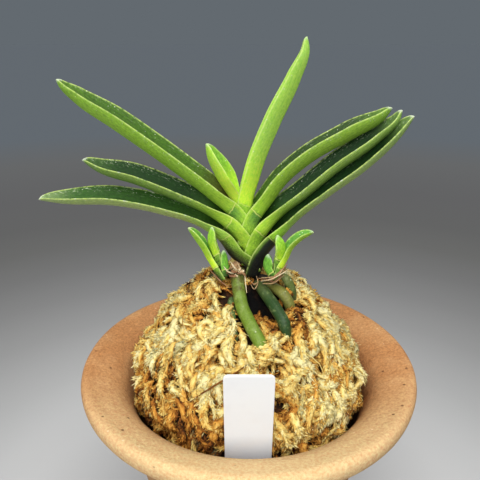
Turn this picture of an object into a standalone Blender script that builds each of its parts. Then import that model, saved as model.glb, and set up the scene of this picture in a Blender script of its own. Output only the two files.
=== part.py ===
"""Wind orchid rooted in a mound of sphagnum moss, in a flared clay pot, with a blank name label.

Lengths are in metres and +Z is up.  The origin is on the pot's axis, in the plane of its foot.
The orchid is a fan.  Its leaves stand alternately to the left (-X) and to the right (+X) in one
plane, each folded along its midrib, and the sheath of every older leaf wraps the younger ones.
Places on the plant are given as across (X), depth (Y, towards the back) and height above the rim.
"""

import math

import bmesh
import bpy
import numpy as np
from mathutils import Vector, noise

MM = 0.001
WELD_DISTANCE = 0.001 * MM

# Pot: an unglazed trumpet lip on a plain body
POT_HEIGHT = 88.0 * MM
POT_STEPS = 44
BORE_PROFILE = [(0.0, 8.0), (23.5, 8.0), (27.5, 9.6), (29.0, 14.0), (30.0, 30.0), (30.8, 44.0),
                (32.2, 52.0), (34.0, 61.0), (35.2, 68.5), (36.3, 74.0), (37.4, 78.0),
                (38.9, 81.4), (41.2, 84.2), (44.4, 86.2), (48.0, 87.4), (50.9, 88.0)]
OUTER_PROFILE = [(52.0, 87.6), (52.5, 86.4), (52.4, 84.4), (51.8, 82.7), (49.2, 80.6),
                 (45.0, 78.0), (42.0, 72.8), (39.4, 66.0), (36.6, 56.0), (34.9, 46.0),
                 (33.9, 34.0), (33.0, 18.0), (32.2, 3.0), (30.6, 0.0), (0.0, 0.0)]
DRAIN_HOLES = 6
DRAIN_SIDES = 20
DRAIN_RADIUS = 3.0 * MM
DRAIN_CIRCLE = 17.0 * MM
POT_FLOOR = 8.0 * MM

# Moss mound: a dome above the pot's throat, packed down to its floor
MOUND_PROFILE = [(0.0, 29.6), (5.5, 29.8), (10.5, 28.8), (16.0, 25.6), (20.8, 21.4),
                 (26.0, 15.0), (30.6, 8.6), (34.6, 2.2), (35.7, -2.6), (35.9, -8.0),
                 (35.5, -14.0), (34.4, -20.5), (33.0, -28.0), (31.2, -40.0), (30.1, -52.0),
                 (29.2, -64.0), (28.2, -73.0), (26.2, -77.6), (22.0, -79.6), (0.0, -79.7)]
MOUND_SHRINK = 0.25 * MM
MOUND_LUMP = 1.5 * MM
LUMP_SIZE = 9.0 * MM
LUMP_FLOOR = -11.0 * MM
LUMP_FADE = 8.0 * MM
LUMP_SEED = (3.1, 7.7, 1.3)
HOLLOW_CENTRE = (3.4 * MM, -12.5 * MM, 26.5 * MM)
HOLLOW_RADIUS = 7.5 * MM
HOLLOW_DEPTH = 7.0 * MM
SOCKET_GAP = 0.35 * MM

# Name label: a thin plate pushed in between the moss and the lip, leaning forward
LABEL_WIDTH = 12.6 * MM
LABEL_LENGTH = 43.0 * MM
LABEL_THICKNESS = 0.8 * MM
LABEL_CORNER = 1.3 * MM
LABEL_TOE = 3.0 * MM
LABEL_TOP = (-0.4 * MM, -40.2 * MM, 20.8 * MM)
LABEL_LEAN = math.radians(10.0)

# Stem, hidden by the sheaths: across, height above the rim and radius
STEM_PATH = [(1.9, 22.0, 1.8), (1.5, 30.0, 1.6), (0.4, 37.0, 1.2), (-1.4, 45.5, 0.7)]
STEM_STATIONS = 8

# Leaves
LEAF_THICKNESS = 0.42 * MM
SHEATH_STEP = 0.70 * MM
SHEATH_CLEARANCE = 0.50 * MM
SHEATH_REACH = 4.4
FOOT_REACH = 0.55
SHEATH_ROUNDING = 2.2
RAMP_LENGTH = 3.0 * MM
OPENING_LENGTH = 9.0 * MM
TAPER_FROM = 0.62
FOLD_BEND = 0.16
SHEATH_HOLLOW = 1.3
TIP_BLUNTNESS = 2.6
TIP_ROUNDING = 0.62
TIP_HALF_WIDTH = 0.5 * MM
TIP_THINNESS = 0.35
FULL_THICKNESS_WIDTH = 2.0 * MM
ROW_EASE = 0.35
LEAF_ROWS = 22
LEAF_COLUMNS = 9

# Each leaf from the youngest, innermost one to the oldest, outermost one.  keel: the midrib from
# the stem to the tip, across and height above the rim.  side: -1 left, +1 right.  joint: length of
# the sheath.  blade: width of one half.  near and far: how far each half opens from the fan's plane
LEAVES = [
    {"name": "leaf_centre_new", "side": -1, "joint": 6.5, "blade": 5.2, "near": 54, "far": 26,
     "reach": 2.2, "taper_from": 0.45,
     "keel": [(-3.1, 47.8), (-5.4, 53.3), (-8.9, 59.8), (-11.3, 65.2), (-12.0, 68.8)]},
    {"name": "leaf_centre_tall", "side": 1, "joint": 9.0, "blade": 4.7, "near": 34, "far": 32,
     "reach": 3.8, "taper_from": 0.48,
     "keel": [(0.1, 45.4), (1.0, 53.0), (3.2, 62.4), (7.8, 74.3), (13.0, 86.0), (15.2, 93.6),
              (14.7, 96.6)]},
    {"name": "leaf_left_upper", "side": -1, "joint": 9.0, "blade": 5.8, "near": 48, "far": 25,
     "keel": [(-2.4, 42.4), (-5.2, 47.4), (-10.4, 52.8), (-20.4, 60.9), (-37.4, 73.5),
              (-47.1, 80.4), (-50.8, 84.3), (-51.6, 86.0)]},
    {"name": "leaf_right_upper", "side": 1, "joint": 9.0, "blade": 5.3, "near": 44, "far": 40,
     "taper_from": 0.72,
     "keel": [(1.5, 40.2), (2.6, 45.4), (5.8, 51.3), (9.9, 57.5), (17.2, 64.1), (28.1, 70.6),
              (36.8, 76.0), (38.7, 78.6)]},
    {"name": "leaf_left_middle", "side": -1, "joint": 11.0, "blade": 5.6, "near": 58, "far": 27,
     "keel": [(-1.8, 37.2), (-5.4, 43.0), (-11.2, 48.2), (-20.8, 53.0), (-32.6, 57.9),
              (-43.1, 61.5), (-47.0, 64.3)]},
    {"name": "leaf_right_middle", "side": 1, "joint": 11.0, "blade": 5.2, "near": 55, "far": 30,
     "keel": [(2.8, 34.6), (4.5, 41.0), (9.0, 47.7), (15.8, 53.4), (24.9, 61.4), (35.6, 69.6),
              (40.9, 75.6), (41.5, 78.0)]},
    {"name": "leaf_left_lower", "side": -1, "joint": 13.0, "blade": 5.6, "near": 61, "far": 38,
     "keel": [(-1.6, 32.0), (-5.0, 35.0), (-9.2, 41.2), (-13.8, 44.7), (-24.9, 48.7),
              (-39.2, 51.6), (-54.0, 52.0), (-60.8, 52.8)]},
    {"name": "leaf_right_lower", "side": 1, "joint": 12.0, "blade": 5.2, "near": 60, "far": 38,
     "taper_from": 0.70,
     "keel": [(3.7, 30.6), (5.0, 35.0), (9.3, 41.4), (14.0, 46.9), (23.1, 54.4), (33.8, 62.8),
              (42.2, 71.9), (45.0, 76.4)]},
]

# Offshoots: small fans of their own on each side of the main one
OFFSHOOT_THICKNESS = 0.40 * MM
OFFSHOOT_STEP = 0.70 * MM
OFFSHOOT_ROWS = 12
OFFSHOOT_COLUMNS = 7
OFFSHOOTS = [
    {"name": "offshoot_left", "depth": -6.0, "reach": 2.1, "opening": 4.0,
     "stem": [(-0.7, 0.3, 29.8, 0.9), (-4.2, -1.4, 30.2, 0.95), (-7.3, -4.6, 31.6, 0.85),
              (-9.0, -6.0, 35.4, 0.5)],
     "leaves": [
         {"name": "leaf_upright", "side": -1, "joint": 2.5, "blade": 2.1, "near": 36, "far": 36,
          "keel": [(-10.1, 36.8), (-11.0, 40.4), (-11.3, 43.4), (-10.6, 46.4)]},
         {"name": "leaf_inner", "side": 1, "joint": 2.0, "blade": 1.7, "near": 36, "far": 36,
          "keel": [(-5.7, 33.0), (-6.3, 35.4), (-7.3, 39.2)]},
         {"name": "leaf_outer", "side": -1, "joint": 3.5, "blade": 2.4, "near": 46, "far": 36,
          "keel": [(-9.6, 32.2), (-11.5, 36.0), (-13.1, 39.6), (-15.2, 43.0), (-17.3, 46.1)]},
     ]},
    {"name": "offshoot_right", "depth": -6.8, "reach": 2.2, "opening": 4.0,
     "stem": [(3.5, -1.4, 28.8, 0.8), (6.2, -3.8, 29.4, 0.9), (7.5, -6.2, 30.8, 0.9),
              (8.3, -6.8, 34.4, 0.5)],
     "leaves": [
         {"name": "leaf_upright", "side": 1, "joint": 2.0, "blade": 3.0, "near": 40, "far": 40,
          "keel": [(9.3, 35.6), (9.9, 38.6), (9.5, 42.0), (8.0, 44.2)]},
         {"name": "leaf_small", "side": -1, "joint": 2.0, "blade": 2.6, "near": 38, "far": 38,
          "keel": [(5.6, 31.8), (4.6, 34.2), (4.8, 36.4), (5.4, 38.3)]},
         {"name": "leaf_arching", "side": 1, "joint": 3.0, "blade": 2.5, "near": 52, "far": 34,
          "keel": [(9.4, 32.8), (10.8, 37.0), (12.2, 40.4), (14.9, 43.2), (18.2, 45.1)]},
     ]},
]

# Roots: thick, blunt and round, from the stem's foot into the moss.  Each point is across, depth
# and height above the rim, with the radius there
ROOTS = {
    "root_front": [(-1.9, -3.0, 31.2, 1.2), (-3.2, -5.6, 31.6, 1.8), (-3.0, -9.4, 28.6, 1.9),
                   (-1.8, -14.0, 24.6, 1.9), (0.7, -19.0, 21.4, 1.9), (3.0, -22.8, 18.4, 1.85),
                   (4.2, -23.6, 13.6, 1.7), (4.4, -23.2, 9.6, 1.4)],
    "root_front_right": [(2.3, -2.9, 27.2, 1.1), (3.4, -6.0, 27.6, 1.6), (5.6, -9.8, 26.0, 1.75),
                         (8.0, -14.2, 24.0, 1.75), (9.8, -17.6, 21.6, 1.7),
                         (10.4, -18.2, 17.0, 1.4)],
    "root_right": [(4.6, -1.7, 26.6, 0.8), (7.4, -5.0, 26.9, 1.55), (10.6, -8.6, 25.8, 1.65),
                   (12.2, -10.0, 22.4, 1.55), (12.6, -10.4, 17.8, 1.25)],
    "root_right_upper": [(8.9, -4.4, 31.0, 0.8), (10.9, -5.2, 30.0, 1.25),
                         (12.6, -6.0, 27.0, 1.3), (13.2, -6.4, 22.6, 1.1)],
    "root_back": [(2.6, 3.0, 28.2, 1.1), (3.6, 6.4, 28.6, 1.6), (4.6, 11.0, 26.0, 1.7),
                  (6.0, 16.0, 22.0, 1.6), (7.4, 20.0, 17.0, 1.3)],
    "root_left": [(-1.3, 2.2, 27.8, 0.9), (-4.4, 3.2, 28.6, 1.4), (-8.4, 3.4, 27.8, 1.5),
                  (-13.4, 3.4, 24.4, 1.4), (-17.0, 3.4, 19.6, 1.2)],
    "root_left_buried": [(-1.4, -2.4, 25.6, 0.9), (-4.0, -6.4, 25.4, 1.2),
                         (-5.2, -11.4, 23.8, 1.3), (-5.0, -16.2, 21.8, 1.3),
                         (-4.3, -19.4, 18.4, 1.2), (-3.8, -20.4, 14.6, 1.0)],
}
ROOT_STATIONS = 13

# Dry remains of old sheaths round the stem's foot
SCRAP_THICKNESS = 0.35 * MM
SCRAP_ROWS = 9
SCRAP_COLUMNS = 4
SCRAP_TWIST = (0.5, 1.1)
SCRAPS = {
    "sheath_scrap_right": {"path": [(4.0, -7.6, 30.8), (6.2, -10.6, 32.0), (9.4, -10.8, 35.4)],
                           "width": 1.3},
    "sheath_scrap_left": {"path": [(-2.6, -2.9, 33.6), (-4.2, -5.2, 34.6), (-5.9, -8.2, 34.2)],
                          "width": 1.8},
}

# Finish: colour and roughness
FINISHES = {
    "clay": ((0.62, 0.36, 0.19), 0.9),
    "moss": ((0.60, 0.42, 0.20), 0.95),
    "label": ((0.85, 0.86, 0.87), 0.35),
    "leaf": ((0.13, 0.30, 0.04), 0.4),
    "new_leaf": ((0.33, 0.58, 0.06), 0.4),
    "stem": ((0.06, 0.05, 0.05), 0.6),
    "root": ((0.12, 0.22, 0.05), 0.55),
    "dry": ((0.36, 0.22, 0.12), 0.8),
}


def clear_scene():
    """Remove what the file opened with."""
    for thing in list(bpy.data.objects):
        bpy.data.objects.remove(thing, do_unlink=True)


def new_collection(name):
    """Make a collection under the scene."""
    collection = bpy.data.collections.new(name)
    bpy.context.scene.collection.children.link(collection)
    return collection


def new_material(name, finish):
    """A Principled material of one of the finishes."""
    colour, roughness = FINISHES[finish]
    material = bpy.data.materials.new(name)
    material.use_nodes = True
    shader = material.node_tree.nodes["Principled BSDF"]
    shader.inputs["Base Color"].default_value = (*colour, 1.0)
    shader.inputs["Roughness"].default_value = roughness
    shader.inputs["Metallic"].default_value = 0.0
    material.diffuse_color = (*colour, 1.0)
    return material


def add_object(name, data, collection, finish):
    """Put mesh or curve data in the scene with a material of its own."""
    thing = bpy.data.objects.new(name, data)
    data.materials.append(new_material(name, finish))
    collection.objects.link(thing)
    return thing


def mark_cutter(thing):
    """A cutter is kept for its modifier and isn't rendered."""
    thing.hide_render = True
    thing.display_type = "WIRE"
    return thing


def cut(thing, cutter):
    """Subtract a cutter from an object."""
    modifier = thing.modifiers.new("cut_" + cutter.name, "BOOLEAN")
    modifier.operation = "DIFFERENCE"
    modifier.solver = "EXACT"
    modifier.object = cutter


def smooth_path(points, count, ease=0.0):
    """Points evenly spread along a smooth curve through the given ones.

    The curve is a cubic between each two points, with the slope at a point taken from its
    neighbours.  A positive ease moves the stations closer together towards the end.
    """
    points = np.asarray(points, dtype=float)
    chord = np.concatenate([[0.0], np.cumsum(np.linalg.norm(np.diff(points, axis=0), axis=1))])
    slope = np.gradient(points, chord, axis=0)
    fine = np.linspace(0.0, chord[-1], 400)
    left = np.clip(np.searchsorted(chord, fine, side="right") - 1, 0, len(chord) - 2)
    span = (chord[left + 1] - chord[left])[:, None]
    t = (fine[:, None] - chord[left][:, None]) / span
    curve = ((2 * t**3 - 3 * t**2 + 1) * points[left] + (t**3 - 2 * t**2 + t) * span * slope[left]
             + (3 * t**2 - 2 * t**3) * points[left + 1] + (t**3 - t**2) * span * slope[left + 1])
    length = np.concatenate([[0.0], np.cumsum(np.linalg.norm(np.diff(curve, axis=0), axis=1))])
    station = np.linspace(0.0, 1.0, count)
    station = station * (1.0 + ease - ease * station) * length[-1]
    return np.stack([np.interp(station, length, curve[:, k]) for k in range(points.shape[1])],
                    axis=1), station


def smoothstep(value):
    """0 below 0, 1 above 1, and a soft rise between."""
    value = np.clip(value, 0.0, 1.0)
    return value * value * (3.0 - 2.0 * value)


def stem_radius(height):
    """Radius of the stem at a height above the rim."""
    path = np.array(STEM_PATH) * MM
    return np.interp(height, path[:, 1], path[:, 2])


def make_pot(collection, cutters):
    """Turn the pot's wall from its profile, then drill the drain holes in its floor."""
    profile = [(radius * MM, height * MM) for radius, height in BORE_PROFILE + OUTER_PROFILE]
    mesh = bpy.data.meshes.new("pot")
    vertices = [(radius, 0.0, height) for radius, height in profile]
    edges = [(k, k + 1) for k in range(len(profile) - 1)]
    mesh.from_pydata(vertices, edges, [])
    pot = add_object("pot", mesh, collection, "clay")
    turn = pot.modifiers.new("turn", "SCREW")
    turn.axis = "Z"
    turn.angle = math.tau
    turn.steps = POT_STEPS
    turn.render_steps = POT_STEPS
    turn.use_merge_vertices = True
    turn.merge_threshold = WELD_DISTANCE
    turn.use_smooth_shade = True
    for k in range(DRAIN_HOLES):
        angle = math.tau * k / DRAIN_HOLES
        bpy.ops.mesh.primitive_cylinder_add(
            vertices=DRAIN_SIDES, radius=DRAIN_RADIUS, depth=POT_FLOOR * 2.0,
            location=(DRAIN_CIRCLE * math.cos(angle), DRAIN_CIRCLE * math.sin(angle),
                      POT_FLOOR / 2.0))
        drill = bpy.context.object
        drill.name = "drain_cutter_%d" % k
        for owner in list(drill.users_collection):
            owner.objects.unlink(drill)
        cutters.objects.link(mark_cutter(drill))
        cut(pot, drill)
    return pot


def mound_surface(direction):
    """Where the mound's surface lies in the direction of a point on the unit sphere.

    The profile is followed by its length, then lumps and the hollow under the plant push it in.
    """
    profile = np.array(MOUND_PROFILE) * MM
    length = np.concatenate([[0.0], np.cumsum(np.linalg.norm(np.diff(profile, axis=0), axis=1))])
    turn = math.acos(max(-1.0, min(1.0, direction.z))) / math.pi
    radius = np.interp(turn * length[-1], length, profile[:, 0])
    height = np.interp(turn * length[-1], length, profile[:, 1])
    radius = max(0.0, radius - MOUND_SHRINK)
    around = math.atan2(direction.y, direction.x)
    place = Vector((radius * math.cos(around), radius * math.sin(around), height))
    lump = noise.noise(place / LUMP_SIZE + Vector(LUMP_SEED))
    fade = float(smoothstep((height - LUMP_FLOOR) / LUMP_FADE))
    place -= direction * (MOUND_LUMP * fade * (0.5 + 0.5 * lump))
    away = (place - Vector(HOLLOW_CENTRE)).length / HOLLOW_RADIUS
    sink = HOLLOW_DEPTH * math.exp(-away * away)
    inward = Vector((-place.x, -place.y, -0.9 * abs(place.z) - 10.0 * MM)).normalized()
    return place + inward * sink


def make_mound(collection):
    """Shape the moss dome from a subdivided icosahedron."""
    mesh = bpy.data.meshes.new("moss_mound")
    shape = bmesh.new()
    bmesh.ops.create_icosphere(shape, subdivisions=4, radius=1.0)
    for vertex in shape.verts:
        vertex.co = mound_surface(vertex.co.normalized())
        vertex.co.z += POT_HEIGHT
    shape.to_mesh(mesh)
    shape.free()
    mesh.shade_smooth()
    return add_object("moss_mound", mesh, collection, "moss")


def tube_curve(name, points):
    """A round tube of changing radius along a smooth path.  Each point is x, y, z, radius."""
    curve = bpy.data.curves.new(name, "CURVE")
    curve.dimensions = "3D"
    curve.bevel_depth = 1.0
    curve.bevel_resolution = 2
    curve.use_fill_caps = True
    spline = curve.splines.new("POLY")
    spline.points.add(len(points) - 1)
    for point, (x, y, z, radius) in zip(spline.points, points):
        point.co = (x, y, z, 1.0)
        point.radius = radius
    return curve


def tube_points(points, count, extra=0.0, stretch=0.0):
    """Stations along a root or stem, in metres, made thicker by extra and longer at both ends."""
    path, _ = smooth_path(points, count)
    path = path * MM
    path[:, 2] += POT_HEIGHT
    path[:, 3] += extra
    for end, inner in ((0, 1), (-1, -2)):
        step = path[end, :3] - path[inner, :3]
        path[end, :3] += step / np.linalg.norm(step) * stretch
    return path


def tube_cutter(name, points, cutters):
    """A closed mesh of a tube, for cutting a socket."""
    guide = bpy.data.objects.new(name, tube_curve(name, points))
    cutters.objects.link(guide)
    bpy.context.view_layer.update()
    depsgraph = bpy.context.evaluated_depsgraph_get()
    mesh = bpy.data.meshes.new_from_object(guide.evaluated_get(depsgraph))
    shape = bmesh.new()
    shape.from_mesh(mesh)
    bmesh.ops.remove_doubles(shape, verts=shape.verts, dist=WELD_DISTANCE)
    bmesh.ops.recalc_face_normals(shape, faces=shape.faces)
    shape.to_mesh(mesh)
    shape.free()
    cutter = bpy.data.objects.new(name, mesh)
    cutter.matrix_world = guide.matrix_world
    bpy.data.objects.remove(guide, do_unlink=True)
    cutters.objects.link(mark_cutter(cutter))
    return cutter


def make_rooted_tube(name, points, count, collection, cutters, finish, mound):
    """A root or a tapering stem, and the socket that it fills in the moss."""
    add_object(name, tube_curve(name, tube_points(points, count)), collection, finish)
    socket = tube_points(points, count, extra=SOCKET_GAP, stretch=SOCKET_GAP)
    cut(mound, tube_cutter(name + "_socket", socket, cutters))


def sheet_mesh(name, rows):
    """An open surface through a grid of points, rows by columns."""
    count, across, _ = rows.shape
    index = np.arange(count * across).reshape(count, across)
    faces = np.stack([index[:-1, :-1], index[1:, :-1], index[1:, 1:], index[:-1, 1:]], axis=-1)
    mesh = bpy.data.meshes.new(name)
    mesh.from_pydata(rows.reshape(-1, 3).tolist(), [], faces.reshape(-1, 4).tolist())
    mesh.shade_smooth()
    return mesh


def thicken(thing, thickness):
    """Give a sheet its thickness, half to each side."""
    shell = thing.modifiers.new("thickness", "SOLIDIFY")
    shell.thickness = thickness
    shell.offset = 0.0
    shell.use_even_offset = False
    shell.use_quality_normals = True
    return shell


def thicken_leaf(thing, thickness, half_widths, columns):
    """Give a leaf its thickness, less where its blade narrows towards the tip.

    A full sheet would pass through itself at the midrib there.
    """
    fullness = thing.vertex_groups.new(name="fullness")
    for row, half_width in enumerate(half_widths):
        points = list(range(row * columns, (row + 1) * columns))
        fullness.add(points, min(1.0, float(half_width) / FULL_THICKNESS_WIDTH), "REPLACE")
    shell = thicken(thing, thickness)
    shell.vertex_group = fullness.name
    shell.thickness_vertex_group = TIP_THINNESS


def blade_profile(fraction, taper_from, blunt):
    """Width along a leaf as a part of its full width, falling to a blunt tip of the part given.

    The tip stays wider than the sheet is thick, or the sheet's two sides would pass through each
    other there.
    """
    tip = np.clip((fraction - taper_from) / (1.0 - taper_from), 0.0, 1.0)
    return np.maximum(1.0 - tip**TIP_BLUNTNESS, 0.0)**TIP_ROUNDING * (1.0 - blunt) + blunt


def leaf_rows(leaf, depth, half_depth, reach, opening, rows, columns):
    """Points of one folded leaf, and the half width of its blade at each row.

    The grid has rows along the leaf by columns from the near margin to the far one.  In the
    sheath each row is a rounded channel, as deep as half_depth says for its height.  Past the
    joint it opens into a blade, a folded strip whose halves lean by the near and far angles.
    """
    keel, station = smooth_path(np.array(leaf["keel"]) * MM, rows, ease=ROW_EASE)
    tangent = np.gradient(keel, station, axis=0)
    tangent /= np.linalg.norm(tangent, axis=1)[:, None]
    inward = np.stack([-tangent[:, 1], tangent[:, 0]], axis=1) * leaf["side"]
    across = np.linspace(-1.0, 1.0, columns)
    part = np.abs(across)[None, :]
    opened = smoothstep((station - leaf["joint"] * MM) / opening)[:, None]
    taper = blade_profile(station / station[-1], leaf.get("taper_from", TAPER_FROM),
                          TIP_HALF_WIDTH / (leaf["blade"] * MM))[:, None]

    foot = FOOT_REACH + (1.0 - FOOT_REACH) * smoothstep(station / (leaf["joint"] * MM))
    sheath_in = reach * part**SHEATH_HOLLOW * foot[:, None]
    sheath_height = keel[:, 1][:, None] + sheath_in * inward[:, 1][:, None]
    rounded = (1.0 - (1.0 - part)**SHEATH_ROUNDING)**(1.0 / SHEATH_ROUNDING)
    sheath_out = half_depth(sheath_height) * rounded

    lean = np.radians(np.where(across < 0.0, leaf["near"], leaf["far"]))[None, :]
    fold = np.sqrt(part**2 + FOLD_BEND**2) - FOLD_BEND
    fold /= math.sqrt(1.0 + FOLD_BEND**2) - FOLD_BEND
    blade_in = leaf["blade"] * MM * taper * fold * np.cos(lean)
    blade_out = leaf["blade"] * MM * taper * part * np.sin(lean)

    offset_in = sheath_in * (1.0 - opened) + blade_in * opened
    offset_out = sheath_out * (1.0 - opened) + blade_out * opened
    grid = np.empty((rows, columns, 3))
    grid[:, :, 0] = keel[:, 0][:, None] + offset_in * inward[:, 0][:, None]
    grid[:, :, 1] = depth + offset_out * np.sign(across)[None, :]
    grid[:, :, 2] = POT_HEIGHT + keel[:, 1][:, None] + offset_in * inward[:, 1][:, None]
    return grid, leaf["blade"] * MM * taper[:, 0]


def make_main_leaves(collection):
    """The eight leaves of the main fan, from the innermost to the outermost."""
    attach = [leaf["keel"][0][1] * MM for leaf in LEAVES]
    for layer, leaf in enumerate(LEAVES):
        def half_depth(height, layer=layer):
            inner = sum(smoothstep((height - attach[k] + RAMP_LENGTH) / RAMP_LENGTH)
                        for k in range(layer))
            return stem_radius(height) + SHEATH_CLEARANCE + SHEATH_STEP * inner

        reach = leaf.get("reach", SHEATH_REACH) * MM
        rows, widths = leaf_rows(leaf, 0.0, half_depth, reach, OPENING_LENGTH, LEAF_ROWS,
                                 LEAF_COLUMNS)
        finish = "new_leaf" if "centre" in leaf["name"] else "leaf"
        thing = add_object(leaf["name"], sheet_mesh(leaf["name"], rows), collection, finish)
        thicken_leaf(thing, LEAF_THICKNESS, widths, LEAF_COLUMNS)


def make_offshoot(shoot, collection, cutters, mound):
    """A small side fan: its own short stem and its leaves."""
    make_rooted_tube(shoot["name"] + "_stem", shoot["stem"], STEM_STATIONS, collection, cutters,
                     "stem", mound)
    stem = np.array(shoot["stem"]) * MM
    for layer, leaf in enumerate(shoot["leaves"]):
        def half_depth(height, layer=layer):
            core = np.interp(height, stem[:, 2], stem[:, 3])
            return core + SHEATH_CLEARANCE + OFFSHOOT_STEP * layer

        rows, widths = leaf_rows(leaf, shoot["depth"] * MM, half_depth, shoot["reach"] * MM,
                                 shoot["opening"] * MM, OFFSHOOT_ROWS, OFFSHOOT_COLUMNS)
        name = shoot["name"] + "_" + leaf["name"]
        thing = add_object(name, sheet_mesh(name, rows), collection, "new_leaf")
        thicken_leaf(thing, OFFSHOOT_THICKNESS, widths, OFFSHOOT_COLUMNS)


def make_scrap(name, scrap, collection):
    """A curled ribbon of dry sheath."""
    path, _ = smooth_path(scrap["path"], SCRAP_ROWS)
    path = path * MM
    path[:, 2] += POT_HEIGHT
    along = np.linspace(0.0, 1.0, len(path))[:, None]
    across = np.linspace(-1.0, 1.0, SCRAP_COLUMNS)[None, :]
    half = scrap["width"] / 2.0 * MM * (0.35 + 0.65 * np.sin(np.pi * (0.15 + 0.8 * along)))
    twist = SCRAP_TWIST[0] + SCRAP_TWIST[1] * along
    rows = np.repeat(path[:, None, :], across.shape[1], axis=1)
    rows[:, :, 1] += half * across * np.sin(twist)
    rows[:, :, 2] += half * across * np.cos(twist)
    thing = add_object(name, sheet_mesh(name, rows), collection, "dry")
    thicken(thing, SCRAP_THICKNESS)


def label_outline():
    """The label's outline: rounded corners above and a tapered toe below."""
    half = LABEL_WIDTH / 2.0
    outline = []
    for corner, start in ((1, 0.0), (-1, math.pi / 2.0)):
        for k in range(5):
            angle = start + math.pi / 2.0 * k / 4
            outline.append((corner * (half - LABEL_CORNER) + LABEL_CORNER * math.cos(angle),
                            -LABEL_CORNER + LABEL_CORNER * math.sin(angle)))
    outline.append((-half, -LABEL_LENGTH + LABEL_TOE))
    outline.append((-half + LABEL_TOE, -LABEL_LENGTH))
    outline.append((half - LABEL_TOE, -LABEL_LENGTH))
    outline.append((half, -LABEL_LENGTH + LABEL_TOE))
    return outline


def make_label(collection, cutters, mound):
    """The blank label plate, and its slot in the moss."""
    curve = bpy.data.curves.new("name_label", "CURVE")
    curve.dimensions = "2D"
    curve.fill_mode = "BOTH"
    curve.extrude = LABEL_THICKNESS / 2.0
    outline = label_outline()
    spline = curve.splines.new("POLY")
    spline.points.add(len(outline) - 1)
    for point, (x, y) in zip(spline.points, outline):
        point.co = (x, y, 0.0, 1.0)
    spline.use_cyclic_u = True
    label = add_object("name_label", curve, collection, "label")
    label.location = (LABEL_TOP[0], LABEL_TOP[1], LABEL_TOP[2] + POT_HEIGHT)
    label.rotation_euler = (math.pi / 2.0 + LABEL_LEAN, 0.0, 0.0)

    slot = bpy.data.meshes.new("label_slot")
    shape = bmesh.new()
    bmesh.ops.create_cube(shape, size=1.0)
    size = Vector((LABEL_WIDTH + 2.0 * SOCKET_GAP, LABEL_LENGTH + 2.0 * SOCKET_GAP,
                   LABEL_THICKNESS + 2.0 * SOCKET_GAP))
    for vertex in shape.verts:
        vertex.co = vertex.co * size - Vector((0.0, LABEL_LENGTH / 2.0, 0.0))
    shape.to_mesh(slot)
    shape.free()
    cutter = bpy.data.objects.new("label_slot", slot)
    cutter.location = label.location
    cutter.rotation_euler = label.rotation_euler
    cutters.objects.link(mark_cutter(cutter))
    cut(mound, cutter)


def main():
    """Build the orchid, its moss, its label and its pot."""
    clear_scene()
    collection = new_collection("wind_orchid")
    cutters = new_collection("cutters")
    make_pot(collection, cutters)
    mound = make_mound(collection)
    make_label(collection, cutters, mound)
    stem = [(x, 0.0, z, radius) for x, z, radius in STEM_PATH]
    make_rooted_tube("main_stem", stem, STEM_STATIONS, collection, cutters, "stem", mound)
    make_main_leaves(collection)
    for shoot in OFFSHOOTS:
        make_offshoot(shoot, collection, cutters, mound)
    for name, points in ROOTS.items():
        make_rooted_tube(name, points, ROOT_STATIONS, collection, cutters, "root", mound)
    for name, scrap in SCRAPS.items():
        make_scrap(name, scrap, collection)


main()
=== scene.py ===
# %% [markdown]
# # A wind orchid in a flared clay pot
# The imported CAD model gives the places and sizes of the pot, the moss, the label and the plant.
# This lesson loads it, then grows a finely shaped piece for each of its nodes.  Most pieces are
# surfaces worked out with numpy: a formula gives a whole grid of points at once, and the grid is
# put into a mesh.

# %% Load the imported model
import math

import bpy
import numpy as np
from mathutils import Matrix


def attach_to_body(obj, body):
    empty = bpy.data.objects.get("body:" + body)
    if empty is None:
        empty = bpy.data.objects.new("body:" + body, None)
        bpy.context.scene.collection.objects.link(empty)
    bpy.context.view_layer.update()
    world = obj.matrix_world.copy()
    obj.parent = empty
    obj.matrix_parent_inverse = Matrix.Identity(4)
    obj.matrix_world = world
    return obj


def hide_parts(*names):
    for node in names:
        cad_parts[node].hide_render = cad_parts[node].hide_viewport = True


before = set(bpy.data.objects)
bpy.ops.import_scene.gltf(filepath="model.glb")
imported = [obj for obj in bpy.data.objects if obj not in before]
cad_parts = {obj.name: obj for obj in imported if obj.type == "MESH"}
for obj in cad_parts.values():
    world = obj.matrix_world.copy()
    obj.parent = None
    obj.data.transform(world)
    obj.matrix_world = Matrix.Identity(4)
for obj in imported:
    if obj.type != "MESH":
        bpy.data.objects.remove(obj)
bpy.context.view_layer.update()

MM = 0.001
RIM = 88 * MM
UP = np.array([0, 0, RIM])

# %% [markdown]
# ## Camera, light and floor
# The camera stands close in front of the pot and looks down at it by about 21 degrees.  Lamps near
# the pot would leave the far floor dark, so three very soft suns make the even light of a studio
# sweep.  A pool of light round the pot is painted into the floor's colour: pale near the pot and
# greying with distance, which its material does by the distance from the pot's axis.

# %% Colours as seen on a screen, and short ways to add objects and nodes
def put_in_scene(name, data):
    """A new object that shows the data, linked into the scene."""
    thing = bpy.data.objects.new(name, data)
    bpy.context.scene.collection.objects.link(thing)
    return thing


def paint(red, green, blue):
    """A screen colour from 0 to 255 as the linear colour that shaders use."""
    value = np.array([red, green, blue]) / 255
    linear = np.where(value < 0.04045, value / 12.92, ((value + 0.055) / 1.055)**2.4)
    return tuple(float(v) for v in linear) + (1,)


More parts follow.
